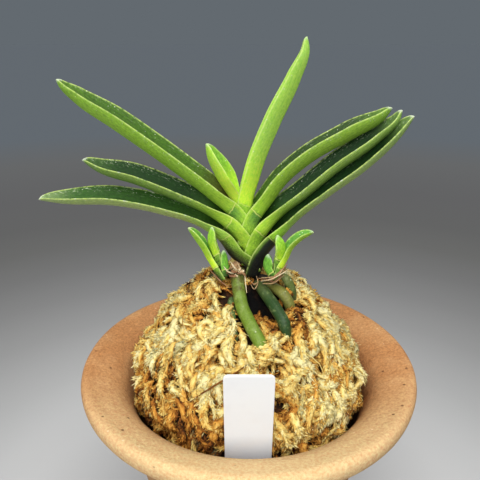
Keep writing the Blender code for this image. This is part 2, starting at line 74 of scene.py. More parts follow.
class Finish:
    """A Principled material, with short ways to add nodes.  place is the point on the piece."""

    def __init__(self, name, roughness, specular):
        self.material = bpy.data.materials.new(name)
        self.material.use_nodes = True
        self.tree = self.material.node_tree
        self.shader = self.tree.nodes["Principled BSDF"]
        self.shader.inputs["Roughness"].default_value = roughness
        self.shader.inputs["Specular IOR Level"].default_value = specular
        self.place = self.add("TexCoord")["Object"]

    def add(self, kind, inputs=None, **settings):
        """Add a node, set its properties, fill its inputs, and return its outputs."""
        node = self.tree.nodes.new("ShaderNode" + kind)
        for key, value in settings.items():
            setattr(node, key, value)
        for key, value in (inputs or {}).items():
            if isinstance(value, bpy.types.NodeSocket):
                self.tree.links.new(value, node.inputs[key])
            else:
                node.inputs[key].default_value = value
        return node.outputs

    def mark(self, name, output="Fac"):
        """An attribute that the mesh carries, as a number or as a colour."""
        return self.add("Attribute", attribute_name=name)[output]

    def grain(self, scale, detail=3, roughness=0.55, place=None):
        """Noise from 0 to 1; scale is features per unit of the place."""
        return self.add("TexNoise", {"Vector": place or self.place, "Scale": scale,
                                     "Detail": detail, "Roughness": roughness})["Fac"]

    def stretch(self, factors, place=None):
        """The place with each direction multiplied, so that a pattern becomes long or short."""
        return self.add("VectorMath", {0: place or self.place, 1: factors},
                        operation="MULTIPLY")["Vector"]

    def rise(self, value, low, high):
        """0 up to low, 1 from high, and a soft rise between.  With low above high it falls."""
        return self.add("MapRange", {"Value": value, "From Min": low, "From Max": high},
                        interpolation_type="SMOOTHSTEP")["Result"]

    def maths(self, operation, first, second=0):
        """One sum on numbers."""
        return self.add("Math", {0: first, 1: second}, operation=operation)[0]

    def times(self, product, *others):
        """The product of numbers."""
        for other in others:
            product = self.maths("MULTIPLY", product, other)
        return product

    def sway(self, value, size):
        """Noise from 0 to 1, moved and scaled to lie evenly round 0."""
        return self.times(self.maths("SUBTRACT", value, 0.5), size)

    def dots(self, scale, size, share, place=None):
        """1 inside scattered dots: cells of random size, of which only a share hold a dot."""
        cells = self.add("TexVoronoi", {"Vector": place or self.place, "Scale": scale})
        chosen = self.add("SeparateColor", {0: cells["Color"]})[0]
        return self.times(self.rise(cells["Distance"], size, size * 0.45),
                          self.rise(chosen, 1 - share, 1 - share + 0.05))

    def mix(self, factor, first, second, way="MIX"):
        """Blend two colours, each an output or a screen colour."""
        first, second = (paint(*c) if isinstance(c, tuple) else c for c in (first, second))
        return self.add("Mix", {0: factor, 6: first, 7: second}, data_type="RGBA",
                        blend_type=way)[2]

    def ramp(self, value, stops):
        """Colours along a number: a stop is a place from 0 to 1 and a screen colour."""
        outputs = self.add("ValToRGB", {"Fac": value})
        points = self.tree.nodes[-1].color_ramp.elements
        while len(points) < len(stops):
            points.new(0.5)
        for point, (where, *colour) in zip(points, stops):
            point.position = where
            point.color = paint(*colour)
        return outputs["Color"]

    def overlay(self, factor, colour, value, *stops):
        """Darken and lighten a colour by a ramp along a number."""
        return self.mix(factor, colour, self.ramp(value, stops), "OVERLAY")

    def relief(self, height, distance, strength=1, below=None):
        """Bump from a height of 0 to 1, as deep as distance in metres."""
        inputs = {"Height": height, "Distance": distance, "Strength": strength}
        if below is not None:
            inputs["Normal"] = below
        return self.add("Bump", inputs)["Normal"]

    def connect(self, **sockets):
        """Link outputs to the shader; an underscore stands for a space in a socket's name."""
        for name, output in sockets.items():
            self.tree.links.new(output, self.shader.inputs[name.replace("_", " ")])
        print("finish", self.material.name)


# %% Camera at the photograph's angle
camera = put_in_scene("camera", bpy.data.cameras.new("camera"))
camera.data.sensor_width = 36
camera.data.lens = 39
camera.data.clip_start = 0.002
camera.data.clip_end = 60
camera.location = (-0.00261, -0.14494, 0.18321)
camera.rotation_euler = (math.radians(69.2), 0, 0)
bpy.context.scene.camera = camera
bpy.context.scene.view_settings.view_transform = "Standard"
print("camera at", [round(v, 4) for v in camera.location])

# %% Soft suns and grey surroundings
SUNS = [
    # name, heading and height of the light in degrees, softness, strength, colour
    ("overhead_sun", 12, 64, 50, 2.6, (1, 0.985, 0.96)),
    ("front_sun", -22, 24, 70, 2.2, (1, 0.99, 0.975)),
    ("back_sun", 165, 42, 90, 0.4, (0.95, 0.98, 1)),
]
# A heading of 0 is straight in front of the pot, and a positive one is to the right
for name, heading, height, softness, strength, colour in SUNS:
    light = bpy.data.lights.new(name, "SUN")
    light.angle = math.radians(softness)
    light.energy = strength
    light.color = colour
    sun = put_in_scene(name, light)
    sun.rotation_euler = (math.radians(90 - height), 0, math.radians(heading))
world = bpy.data.worlds.new("studio")
bpy.context.scene.world = world
world.use_nodes = True
world.node_tree.nodes["Background"].inputs["Color"].default_value = paint(99, 106, 112)
world.node_tree.nodes["Background"].inputs["Strength"].default_value = 1
print(len(SUNS), "soft suns")

# %% Floor with a painted pool of light that greys with distance
def around(sides):
    """Points on a circle of radius 1 round the Z axis: the cosine, the sine and 0."""
    turn = np.linspace(0, 2 * math.pi, sides, endpoint=False)
    return np.stack([np.cos(turn), np.sin(turn), 0 * turn], axis=1)


FLOOR_RADIUS = 60
FLOOR_SIDES = 96
# Painted light: the floor's colour is a pool of light, pale near the pot and grey further out
FLOOR_PAINTED_LIGHT = [(0, 186, 186, 186), (0.1, 185, 185, 185), (0.12, 179, 179, 179),
                (0.15, 163, 163, 163), (0.2, 139, 139, 139), (0.25, 121, 121, 121),
                (0.3, 107, 107, 107), (0.36, 96, 96, 95), (0.43, 90, 90, 90), (0.55, 89, 89, 90),
                (0.75, 92, 93, 94), (1, 89, 95, 101)]
sweep = Finish("sweep", 1, 0)
distance = sweep.add("VectorMath", {0: sweep.place}, operation="LENGTH")["Value"]
sweep.connect(Base_Color=sweep.ramp(distance, FLOOR_PAINTED_LIGHT))
floor_mesh = bpy.data.meshes.new("floor")
floor_mesh.from_pydata(around(FLOOR_SIDES) * FLOOR_RADIUS, [], [list(range(FLOOR_SIDES))])
floor_mesh.materials.append(sweep.material)
put_in_scene("floor", floor_mesh)
print("floor", FLOOR_RADIUS * 2, "m across")

# %% [markdown]
# ## Tools for grown shapes
# Leaves, roots and strands are all sections carried along a curve.  The curve is a chain of
# cubics through a few given points, read off at even lengths.  Lumps come from a sum of sine
# waves in random directions, which is smooth, repeatable and fast on whole arrays.

# %% Curves, smooth lumps and mesh making
def run_along(points):
    """The length along a chain of points, from 0 at the first."""
    return np.append(0, np.cumsum(np.linalg.norm(np.diff(points, axis=0), axis=1)))


def smooth_path(points, count, ease=0):
    """Stations along a cubic curve through the points, and their lengths along it.

    Each span is a Hermite cubic whose slopes come from the neighbouring points.  A positive ease
    moves the stations closer together towards the end.
    """
    points = np.asarray(points, dtype=float)
    chord = run_along(points)
    slope = np.gradient(points, chord, axis=0)
    fine = np.linspace(0, chord[-1], 800)
    left = np.clip(np.searchsorted(chord, fine, side="right") - 1, 0, len(chord) - 2)
    span = (chord[left + 1] - chord[left])[:, None]
    t = (fine[:, None] - chord[left][:, None]) / span
    curve = ((2 * t**3 - 3 * t**2 + 1) * points[left] + (t**3 - 2 * t**2 + t) * span * slope[left]
             + (3 * t**2 - 2 * t**3) * points[left + 1] + (t**3 - t**2) * span * slope[left + 1])
    length = run_along(curve)
    station = np.linspace(0, 1, count)
    station = station * (1 + ease - ease * station) * length[-1]
    return np.stack([np.interp(station, length, curve[:, k]) for k in range(points.shape[1])],
                    axis=1), station


def smoothstep(value):
    """0 below 0, 1 above 1, and 3v^2 - 2v^3 between."""
    value = np.clip(value, 0, 1)
    return value * value * (3 - 2 * value)


def ripples(points, size, seed, waves=14):
    """Smooth noise of about -1 to 1: the scaled mean of sine waves in random directions."""
    random = np.random.default_rng(seed)
    direction = random.normal(size=(waves, 3))
    direction /= np.linalg.norm(direction, axis=1)[:, None]
    pace = 2 * math.pi / size * random.uniform(0.7, 1.4, waves)
    phase = random.uniform(0, 2 * math.pi, waves)
    return 2.6 * np.sin(points @ (direction * pace[:, None]).T + phase).mean(axis=-1)


def unit(vectors):
    """Vectors scaled to length 1."""
    return vectors / np.maximum(np.linalg.norm(vectors, axis=-1, keepdims=True), 1e-12)


def new_piece(name, shape, finish, marks=None, nodes=()):
    """Put a closed surface, given as points, quads and triangles, in the scene as a piece.

    The faces are turned outwards if the volume they enclose comes out negative.  marks are
    numbers or colours per point that the finish reads.
    """
    points, quads, triangles = (np.asarray(part, dtype=kind).reshape(-1, width) for part, kind,
                                width in zip(shape, (float, int, int), (3, 4, 3)))
    flat = np.concatenate([quads[:, :3], quads[:, [0, 2, 3]], triangles])
    a, b, c = (points[flat[:, k]] for k in range(3))
    if np.einsum("ij,ij->i", a, np.cross(b, c)).sum() < 0:
        quads, triangles = quads[:, ::-1], triangles[:, ::-1]
    mesh = bpy.data.meshes.new(name)
    corners = np.concatenate([quads.ravel(), triangles.ravel()])
    starts = np.concatenate([np.arange(len(quads)) * 4,
                             len(quads) * 4 + np.arange(len(triangles)) * 3])
    mesh.vertices.add(len(points))
    mesh.vertices.foreach_set("co", points.astype(np.float32).ravel())
    mesh.loops.add(len(corners))
    mesh.loops.foreach_set("vertex_index", corners.astype(np.int32))
    mesh.polygons.add(len(starts))
    mesh.polygons.foreach_set("loop_start", starts.astype(np.int32))
    mesh.update(calc_edges=True)
    mesh.shade_smooth()
    for mark, values in (marks or {}).items():
        values = np.asarray(values, dtype=np.float32)
        kind, field = ("FLOAT_COLOR", "color") if values.ndim == 2 else ("FLOAT", "value")
        mesh.attributes.new(mark, kind, "POINT").data.foreach_set(field, values.ravel())
    mesh.materials.append(finish.material)
    piece = put_in_scene(name, mesh)
    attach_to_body(piece, "root")
    if nodes:
        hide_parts(*nodes)
    print(name, len(quads) * 2 + len(triangles), "triangles")
    return piece


def tube_faces(rings, sides):
    """Quads between each ring of points and the next, and the fans that close the two ends.

    The points are the rings' in order, then the middles of the first ring and of the last.
    """
    index = np.arange(rings * sides).reshape(rings, sides)
    after = np.roll(index, -1, axis=1)
    quads = np.stack([index[:-1], after[:-1], after[1:], index[1:]], axis=-1).reshape(-1, 4)
    middle = np.full(sides, rings * sides)
    return quads, np.concatenate([np.stack([middle, after[0], index[0]], axis=1),
                                  np.stack([middle + 1, index[-1], after[-1]], axis=1)])


def capped(rings):
    """Points and faces of a closed tube from an array of rings by points round it by three."""
    points = np.concatenate([rings.reshape(-1, 3), rings[[0, -1]].mean(axis=1)])
    return (points, *tube_faces(*rings.shape[:2]))


# %% [markdown]
# ## Clay pot
# The real pot was thrown on a wheel and left unglazed.  Its lip flares like a trumpet, and the
# photograph's lower edge cuts off its body.  The CAD node is right but has only 44 sides, so the
# lip would show corners.  Here the same profile is smoothed and carried round in 256 steps, with
# a slow wobble and faint throwing rings that no moulded pot has.

# %% Sandy clay finish
clay = Finish("sandy_clay", 0.88, 0.25)
axes = clay.add("SeparateXYZ", {0: clay.place})
# low is 1 below the lip's top, in the bore and under the lip, where the clay is painted darker as
# shade
low = clay.rise(axes["Z"], 0.0875, 0.076)
# Painted light and shade: the front of the pot is paler and the back darker
tone = clay.mix(clay.rise(axes["Y"], -0.054, -0.004), (230, 198, 146), (190, 134, 84))
tone = clay.mix(clay.times(low, 0.75), tone, (142, 94, 54))
streak = clay.grain(420, 3, 0.6, clay.stretch((1, 1, 0.12)))
tone = clay.overlay(clay.times(low, 0.3), tone, streak, (0.3, 150, 144, 138),
                    (0.7, 222, 220, 216))
cloud = clay.rise(clay.grain(45, 4, 0.6), 0.42, 0.68)
tone = clay.mix(clay.times(cloud, 0.35), tone, (236, 196, 142))
sand = clay.grain(1250, 3, 0.75)
tone = clay.overlay(0.55, tone, sand, (0.3, 132, 122, 112), (0.52, 188, 188, 188),
                    (0.74, 236, 232, 224))
pits = clay.dots(300, 0.16, 0.2)
tone = clay.mix(clay.times(pits, 0.75), tone, (96, 62, 38))
tone = clay.mix(clay.times(clay.dots(430, 0.17, 0.16), 0.5), tone, (252, 228, 186))
bumps = clay.relief(sand, 0.00034, 0.9)
bumps = clay.relief(clay.grain(420), 0.00055, 0.6, bumps)
bumps = clay.relief(clay.maths("SUBTRACT", 1, pits), 0.0004, 0.7, bumps)
clay.connect(Base_Color=tone, Normal=bumps)

# %% Turned pot
BORE = [(0, 8), (12, 8), (23.5, 8), (27.5, 9.6), (29, 14), (30, 30),
        (30.8, 44), (32.2, 52), (34, 61), (35.2, 68.5), (36.3, 74), (37.4, 78),
        (38.9, 81.4), (41.2, 84.2), (44.4, 86.2), (48, 87.4), (50.6, 88), (51.9, 87.7),
        (52.5, 86.5), (52.4, 84.4), (51.8, 82.7), (49.2, 80.6), (45, 78), (42, 72.8),
        (39.4, 66), (36.6, 56), (34.9, 46), (33.9, 34), (33, 18), (32.4, 4.4),
        (32, 1.4), (30.6, 0.1), (28, 0), (14, 0), (0, 0)]
POT_SIDES = 256
POT_ROWS = 260


def turned(profile, rows, sides):
    """Rings round the Z axis: every profile point (radius, height) is carried round a circle."""
    path, length = smooth_path(np.array(profile) * MM, rows)
    return path[:, None, :1] * around(sides) + path[:, None, 1:] * [0, 0, 1], length


rings, length = turned(BORE, POT_ROWS, POT_SIDES)
inside = smoothstep((rings[:, :, 2:] - 1 * MM) / (6 * MM))
wheel = 0.05 * MM * np.sin(length / (1.9 * MM))[:, None, None]
wobble = 0.16 * MM * ripples(rings, 60 * MM, 5)[:, :, None]
rings = rings + unit(rings * [1, 1, 0]) * (wheel + wobble) * inside
pot = new_piece("clay_pot", capped(rings[1:-1]), clay, nodes=["pot"])

# %% Drain holes through the pot's floor
DRAIN_COUNT = 6
DRAIN_SIDES = 32
DRAIN_RADIUS = 3 * MM
DRAIN_OFFSET = 17 * MM
circles = DRAIN_RADIUS * around(DRAIN_SIDES) + np.array([[[0, 0, -2]], [[0, 0, 12]]]) * MM
drill_points, drill_quads, drill_triangles = [], [], []
for angle in 2 * math.pi * np.arange(DRAIN_COUNT) / DRAIN_COUNT:
    middle = np.array([DRAIN_OFFSET * math.cos(angle), DRAIN_OFFSET * math.sin(angle), 0])
    points, quads, triangles = capped(middle + circles)
    drill_quads += (quads[:, ::-1] + len(drill_points)).tolist()
    drill_triangles += (triangles + len(drill_points)).tolist()
    drill_points += points.tolist()
drill_mesh = bpy.data.meshes.new("drill")
drill_mesh.from_pydata(drill_points, [], drill_quads + drill_triangles)
drill_mesh.validate()
drill = put_in_scene("drill", drill_mesh)
cutting = pot.modifiers.new("drain_holes", "BOOLEAN")
cutting.operation = "DIFFERENCE"
cutting.solver = "EXACT"
cutting.object = drill
bpy.context.view_layer.update()
bored = bpy.data.meshes.new_from_object(
    pot.evaluated_get(bpy.context.evaluated_depsgraph_get()))
pot.modifiers.clear()
pot.data = bored
bpy.data.objects.remove(drill, do_unlink=True)
print("drain holes cut,", len(bored.polygons), "faces")

# %% [markdown]
# ## Moss
# Dried sphagnum is a tangle of soft branches, each clothed in tiny pointed leaves.  A particle
# system can't be exported, so the tangle is built in four layers: a lumpy core painted dark as the
# shade deep in the tangle, thick branches that lie on it, thousands of small leaf scales on the
# branches, and thin loose fibres.
# A point on the mound is named by its length along the mound's profile, its turn round the axis
# and its height above the core, so a branch is a short curve in those three numbers.

# %% Where the mound's surface is
MOUND = np.array([(0, 29.9), (5.5, 30.4), (10.5, 29.4), (16, 26.2), (20.8, 22.2),
                  (26.2, 15.8), (30.8, 9), (34.8, 2.2), (36, -2.6), (36, -8),
                  (35.3, -14), (34.3, -20.5), (32.9, -28), (31.2, -40), (30.1, -52),
                  (29.2, -64), (28.2, -73), (26.2, -77.6), (22, -79.6),
                  (0, -79.7)]) * MM + np.array([0, RIM])
mound_path, mound_length = smooth_path(MOUND, 500)
mound_slope = unit(np.gradient(mound_path, mound_length, axis=0))
HOLLOW_CENTRE = np.array([3.6, -12.5, 26.5]) * MM + UP
HOLLOW_RADIUS = 7.5 * MM
HOLLOW_DEPTH = 7 * MM
SHOULDER_ALONG = 25 * MM
SHOULDER_DROP = 1.8 * MM
HEART = np.array([0, 0, RIM - 12 * MM])


def mound_radius(along):
    """How far the profile is from the pot's axis at a length along it."""
    return np.interp(along, mound_length, mound_path[:, 0])


def on_mound(along, turn, height):
    """Points at a length along the profile, a turn round the axis and a height above it.

    The point is the profile's, carried round by the turn, plus its normal times the height.
    The right shoulder lies lower, by a bell in both directions.  Points near the hollow under the
    plant are then pushed in by a soft bell.
    """
    aside = np.arctan2(np.sin(turn), np.cos(turn))
    height = height - SHOULDER_DROP * np.exp(-(aside / 0.75)**2
                                             - ((along - SHOULDER_ALONG) / (11 * MM))**2)
    level = np.interp(along, mound_length, mound_path[:, 1])
    fall = np.interp(along, mound_length, mound_slope[:, 1])
    out = np.interp(along, mound_length, mound_slope[:, 0])
    radius = np.maximum(mound_radius(along) - fall * height, 0)
    place = np.stack([radius * np.cos(turn), radius * np.sin(turn), level + out * height], axis=-1)
    away = np.linalg.norm(place - HOLLOW_CENTRE, axis=-1, keepdims=True) / HOLLOW_RADIUS
    return place + unit(HEART - place) * HOLLOW_DEPTH * np.exp(-away * away)


# %% Moss colours
MOSS_TONES = [(0, 5, 4, 4), (0.1, 50, 30, 16), (0.22, 112, 66, 28), (0.38, 182, 116, 44),
              (0.54, 226, 168, 74), (0.7, 244, 207, 114), (0.85, 252, 229, 146),
              (1, 255, 244, 188)]
moss = Finish("dried_moss", 0.85, 0.2)
blotch = moss.sway(moss.grain(600), 0.24)
shade = moss.ramp(moss.maths("ADD", moss.mark("tone"), blotch), MOSS_TONES)
shade = moss.mix(moss.times(moss.mark("green"), 0.6), shade, (150, 156, 116))
hair = moss.grain(2600, 3, 0.65)
shade = moss.overlay(0.34, shade, hair, (0.3, 140, 126, 104), (0.55, 190, 188, 182),
                     (0.8, 240, 238, 226))
moss.connect(Base_Color=shade, Normal=moss.relief(hair, 0.0004))

# %% Core painted dark as shade deep in the tangle
CORE_ROWS = 170
CORE_SIDES = 160
core_along = np.linspace(0.4 * MM, mound_length[-1] - 0.4 * MM, CORE_ROWS)[:, None]
core_turn = np.linspace(0, 2 * math.pi, CORE_SIDES, endpoint=False)[None, :]
core_along, core_turn = np.broadcast_arrays(core_along, core_turn)
flat = on_mound(core_along, core_turn, np.zeros_like(core_along))
shown = smoothstep((flat[:, :, 2] - RIM + 30 * MM) / (14 * MM))
lumps = ripples(flat, 7 * MM, 11) * 0.9 + ripples(flat, 2.6 * MM, 12) * 0.55
core_height = (-2.3 + lumps * 0.8) * MM * shown - 0.35 * MM
core = on_mound(core_along, core_turn, core_height)
hollow = np.linalg.norm(core - HOLLOW_CENTRE, axis=-1) / HOLLOW_RADIUS
# Painted shade: the core is dark between the strands and darkest in the hollow under the plant,
# where the deep shadow falls
core_painted_shade = (0.13 + 0.07 * lumps) * (1 - np.exp(-hollow**2)) - 0.2 * np.exp(-hollow**2)
new_piece("moss_core", capped(core), moss,
          {"tone": np.append(core_painted_shade.ravel(), [0.1, 0.1]),
           "green": np.zeros(core_painted_shade.size + 2)}, ["moss_mound"])

# %% [markdown]
# The branches are scattered evenly by area.  Low on the mound they hang down, and near the top
# they lie every way.  A branch that would cover a root or come through the label is left out, so
# the roots' routes and the label's place are set first.

# %% Routes of the roots, and the label's place
# Each root's piece, the share of it that lies bare, its route as x, y, height above the rim and
# radius in mm, and its colours from the top down
ROOTS = {
    "root_front": ("front_root", 0.66, [(-1.9, -3, 31.2, 1.2), (-3.2, -5.6, 31.6, 1.8),
        (-3, -9.4, 28.6, 1.9), (-1.8, -14, 24.6, 1.9), (0.7, -19, 21.4, 1.9),
        (3, -22.8, 18.4, 1.85), (4.2, -23.6, 13.6, 1.7), (4.4, -23.2, 9.6, 1.4)], [(0, 56, 46, 26),
        (0.13, 88, 88, 38), (0.28, 108, 132, 46), (0.8, 110, 136, 46), (1, 126, 138, 62)]),
    "root_front_right": ("dark_front_root", 0.8, [(2.3, -2.9, 27.2, 1.1), (3.4, -6, 27.6, 1.6),
        (5.6, -9.8, 26, 1.75), (8, -14.2, 24, 1.75), (9.8, -17.6, 21.6, 1.7),
        (10.4, -18.2, 17, 1.4)], [(0, 56, 58, 34), (0.2, 74, 88, 46), (0.45, 44, 70, 34),
        (0.85, 46, 72, 38), (1, 62, 70, 42)]),
    "root_right": ("olive_right_root", 0.62, [(4.6, -1.7, 26.6, 0.8), (7.4, -5, 26.9, 1.55),
        (10.6, -8.6, 25.8, 1.65), (12.2, -10, 22.4, 1.55), (12.6, -10.4, 17.8, 1.25)],
        [(0, 124, 116, 58), (0.5, 120, 122, 58), (1, 88, 88, 40)]),
    "root_right_upper": ("upper_right_root", 0.7, [(8.9, -4.4, 31, 0.8), (10.9, -5.2, 30, 1.25),
        (12.6, -6, 27, 1.3), (13.2, -6.4, 22.6, 1.1)], [(0, 112, 118, 64), (0.5, 84, 100, 48),
        (1, 60, 62, 32)]),
    "root_left_buried": ("half_buried_root", 0.34, [(-1.4, -2.4, 25.6, 0.9), (-4, -6.4, 25.4, 1.2),
        (-5.2, -11.4, 23.8, 1.3), (-5, -16.2, 21.8, 1.3), (-4.3, -19.4, 18.4, 1.2),
        (-3.8, -20.4, 14.6, 1)], [(0, 52, 62, 40), (0.5, 92, 118, 66), (1, 120, 140, 84)]),
    "root_left": ("left_root", 0.5, [(-1.3, 2.2, 27.8, 0.9), (-4.4, 3.2, 28.6, 1.4),
        (-8.4, 3.4, 27.8, 1.5), (-13.4, 3.4, 24.4, 1.4), (-17, 3.4, 19.6, 1.2)], [(0, 62, 60, 34),
        (1, 84, 86, 46)]),
    "root_back": ("back_root", 0.62, [(2.6, 3, 28.2, 1.1), (3.6, 6.4, 28.6, 1.6),
        (4.6, 11, 26, 1.7), (6, 16, 22, 1.6), (7.4, 20, 17, 1.3)], [(0, 124, 116, 58),
        (0.5, 120, 122, 58), (1, 88, 88, 40)]),
}
LABEL_WIDTH = 12.6 * MM
LABEL_LENGTH = 43 * MM
LABEL_THICKNESS = 0.8 * MM
LABEL_TOP = np.array([-0.4, -40.2, 20.8]) * MM + UP
LABEL_LEAN = math.radians(10)
label_down = np.array([0, math.sin(LABEL_LEAN), -math.cos(LABEL_LEAN)])
label_front = np.array([0, -math.cos(LABEL_LEAN), -math.sin(LABEL_LEAN)])


def round_route(points_mm, count):
    """A root's or stem's stations, in metres, with the radius as the fourth number."""
    return smooth_path(points_mm, count)[0] * MM + np.append(UP, 0)


def in_the_way(paths, clearance):
    """True for each path (paths by stations by three) that comes too near a bare root or label."""
    blocked = np.zeros(len(paths), dtype=bool)
    for _, bare, points_mm, _ in ROOTS.values():
        route = round_route(points_mm, 40)[:int(40 * bare)]
        gap = np.linalg.norm(paths[:, :, None] - route[:, :3], axis=-1) - route[:, 3]
        blocked |= gap.min(axis=(1, 2)) < clearance
    offset = paths - LABEL_TOP
    crossing = ((np.abs(offset[:, :, 0]) < LABEL_WIDTH / 2 + clearance)
                & (offset @ label_front > -LABEL_THICKNESS / 2 - clearance)
                & (offset @ label_down > -clearance))
    return blocked | crossing.any(axis=1)


def lies_clear(paths, clearance, from_hollow, depth):
    """True for each path clear of roots, label and hollow, and above a depth in the pot, in mm."""
    away = np.linalg.norm(paths - HOLLOW_CENTRE, axis=-1).min(axis=1)
    return (~in_the_way(paths, clearance * MM) & (away > from_hollow * MM)
            & (paths[:, :, 2].min(axis=1) > RIM - depth * MM))


print(len(ROOTS), "roots")

# %% [markdown]
# A branch starts at a random place, heads downhill within a random angle, and curls a little as
# it goes.  Its two ends dip into the core and its middle stands proud.

# %% Scatter curves over the mound
MOSS_LOW = 0.6 * MM
MOSS_HIGH = 60 * MM
BRANCH_STATIONS = 11
BRANCH_SIDES = 7
TUFTS = 500
PER_TUFT = 3


def scatter(random, count):
    """Even places by area: a length along the profile, weighted by its radius, and a turn."""
    grid = np.linspace(MOSS_LOW, MOSS_HIGH, 400)
    weight = mound_radius(grid) + 0.8 * MM
    total = np.cumsum(weight) / weight.sum()
    along = np.interp(random.uniform(size=count), total, grid)
    return along, random.uniform(0, 2 * math.pi, count)


def creeping(random, along, turn, heading, reach, stations, lift, curl, wave):
    """Curves that creep over the mound from given places.

    A heading of 0 is straight downhill.  It turns steadily by a random curl and sways by a sine
    wave.  Steps are summed along the profile, and round the axis divided by the radius there.  The
    height is a sine arch over the curve's length on top of the lumps below it.
    """
    count = len(along)
    steps = np.linspace(0, 1, stations)[None, :]
    bend = random.normal(0, curl, count)[:, None]
    phase = random.uniform(0, 2 * math.pi, count)[:, None]
    angle = heading[:, None] + bend * steps + wave * np.sin(7 * steps + phase)
    stride = reach[:, None] / (stations - 1)
    down = np.cumsum(np.cos(angle) * stride, axis=1) - np.cos(angle[:, :1]) * stride
    aside = np.cumsum(np.sin(angle) * stride, axis=1) - np.sin(angle[:, :1]) * stride
    length = np.abs(along[:, None] + down)
    spin = turn[:, None] + aside / np.maximum(mound_radius(length), 3 * MM)
    lumps = ripples(on_mound(length, spin, np.zeros_like(length)), 7 * MM, 11) * 0.9
    arch = np.sin(np.pi * (0.08 + 0.88 * steps))
    return on_mound(length, spin, (lumps * 0.8 - 2) * MM + lift[:, None] * arch)


def headings(random, along, spread):
    """Random headings, wider near the top of the mound, where nothing pulls a strand downhill."""
    top = smoothstep(1 - along / (24 * MM))
    return random.normal(0, 1, len(along)) * spread * (0.8 + 2.6 * top)


random = np.random.default_rng(20)
along, turn = scatter(random, TUFTS)
tuft = np.repeat(np.arange(TUFTS), PER_TUFT)
count = len(tuft)
heading = headings(random, along, 0.7)[tuft] + random.normal(0, 0.5, count)
lift = random.uniform(0.4, 2.6, TUFTS)[tuft] * MM + random.normal(0, 0.3, count) * MM
along = np.maximum(along[tuft] + random.normal(0, 1.8, count) * MM, 0.5 * MM)
turn = turn[tuft] + random.normal(0, 1.8, count) * MM / np.maximum(mound_radius(along), 4 * MM)
reach = random.uniform(5.5, 12, count) * MM
paths = creeping(random, along, turn, heading, reach, BRANCH_STATIONS, lift, 1.2, 0.36)
girth = random.uniform(0.6, 1.35, count) * MM
keep = lies_clear(paths, 0.8, 6.2, 28)
tuft_paths, tuft_girth, tuft_lift, tuft = (part[keep] for part in (paths, girth, lift, tuft))
print(len(tuft_paths), "long branches lie clear of the roots and the label")

# %% Short branches that fill the gaps
SHORT = 1500
along, turn = scatter(random, SHORT)
lift = random.uniform(0.2, 1.1, SHORT) * MM
reach = random.uniform(3, 6, SHORT) * MM
paths = creeping(random, along, turn, headings(random, along, 0.9), reach, BRANCH_STATIONS, lift,
                 1, 0.4)
girth = random.uniform(0.4, 0.8, SHORT) * MM
keep = lies_clear(paths, 0.25, 7.5, 28)
short_paths, short_girth, short_lift = (part[keep] for part in (paths, girth, lift))
print(len(short_paths), "short branches")

# %% Branches laid one by one where the photograph shows them
HAND_LAID = [
    # half width in mm, tone, places as length along the profile in mm and turn in degrees
    (0.9, 0.92, [(14, -142), (17.6, -124), (21.1, -112)]),
    (0.9, 0.9, [(9, -152), (14.5, -161), (21.1, -143)]),
    (1, 0.85, [(28.9, -153), (33.5, -149), (39.5, -159)]),
    (1, 0.88, [(35.3, -136), (38.9, -128), (43.7, -125)]),
    (1.3, 0.86, [(40.1, -143), (43.7, -138), (48.2, -134)]),
    (1.1, 0.52, [(40.7, -152), (47.3, -151), (57.9, -165)]),
    (1.6, 0.92, [(24.7, -104), (29.8, -104), (32.9, -100), (35, -96)]),
    (1, 0.86, [(29.5, -111), (32, -115), (34.1, -120)]),
    (1.3, 0.74, [(30.8, -132), (33.5, -126), (37.4, -123)]),
    (1.2, 0.95, [(27.7, -91), (32.3, -88), (33.8, -83)]),
    (1.2, 0.6, [(38.3, -77), (42.8, -71), (46.1, -67)]),
    (0.8, 0.92, [(35.9, -137), (39.5, -127), (43.1, -127)]),
    (0.6, 0.9, [(49.4, -77), (54.9, -74), (57.9, -72)]),
    (0.9, 0.9, [(24.7, -67), (26.6, -73), (29.8, -80)]),
    (1.4, 0.9, [(25.3, -21), (32.6, -23), (39.8, -27), (44.6, -28)]),
    (1.2, 0.55, [(14.2, -8), (16.3, -37), (21.4, -43)]),
    (1.2, 0.88, [(20.2, -7), (23.8, -18), (27.1, -24)]),
    (1.2, 0.86, [(28, -52), (32, -56), (36.2, -60)]),
    (1.1, 0.8, [(31.7, -38), (36.5, -41), (41.3, -47)]),
    (1.2, 0.9, [(44.3, -38), (48.8, -41), (53.1, -48)]),
    (1, 0.62, [(38, -55), (43.1, -56), (47.9, -61)]),
    (1.2, 0.86, [(46.1, -72), (50.7, -69), (56.7, -68)]),
    (1, 0.72, [(39.8, -116), (43.7, -111), (48.5, -111)]),
    (1.1, 0.45, [(45.5, -127), (48.5, -120), (52.5, -117)]),
    (1, 0.36, [(46, -118), (49.5, -113), (54.5, -114)]),
    (0.9, 0.4, [(49, -108), (52.5, -112), (56.5, -110)]),
    (1, 0.3, [(50, -123), (54, -119), (58, -121)]),
    (1.2, 0.5, [(51, -143), (53.7, -134), (56.1, -127)]),
    (1.2, 0.88, [(27.6, -76), (28.2, -82), (28.8, -90)]),
    (1, 0.8, [(28.8, -73), (29.8, -81), (29.6, -88)]),
    (1, 0.92, [(27.4, -127), (25, -129.5), (23.2, -125.5), (23.4, -120), (25.2, -116.5),
              (27.2, -118), (27, -122.5), (25.6, -123)]),
]


def laid(places, lift, stations):
    """A strand through given places on the mound, arched above the core by its lift."""
    path, _ = smooth_path(np.array(places, dtype=float) * [1, 0.5], stations)
    length, spin = path[:, 0] * MM, np.radians(path[:, 1] * 2)
    ground = on_mound(length, spin, np.zeros(stations))
    arch = np.sin(np.pi * (0.12 + 0.8 * np.linspace(0, 1, stations)))
    return on_mound(length, spin, (ripples(ground, 7 * MM, 11) * 0.7 - 2) * MM + lift * arch)


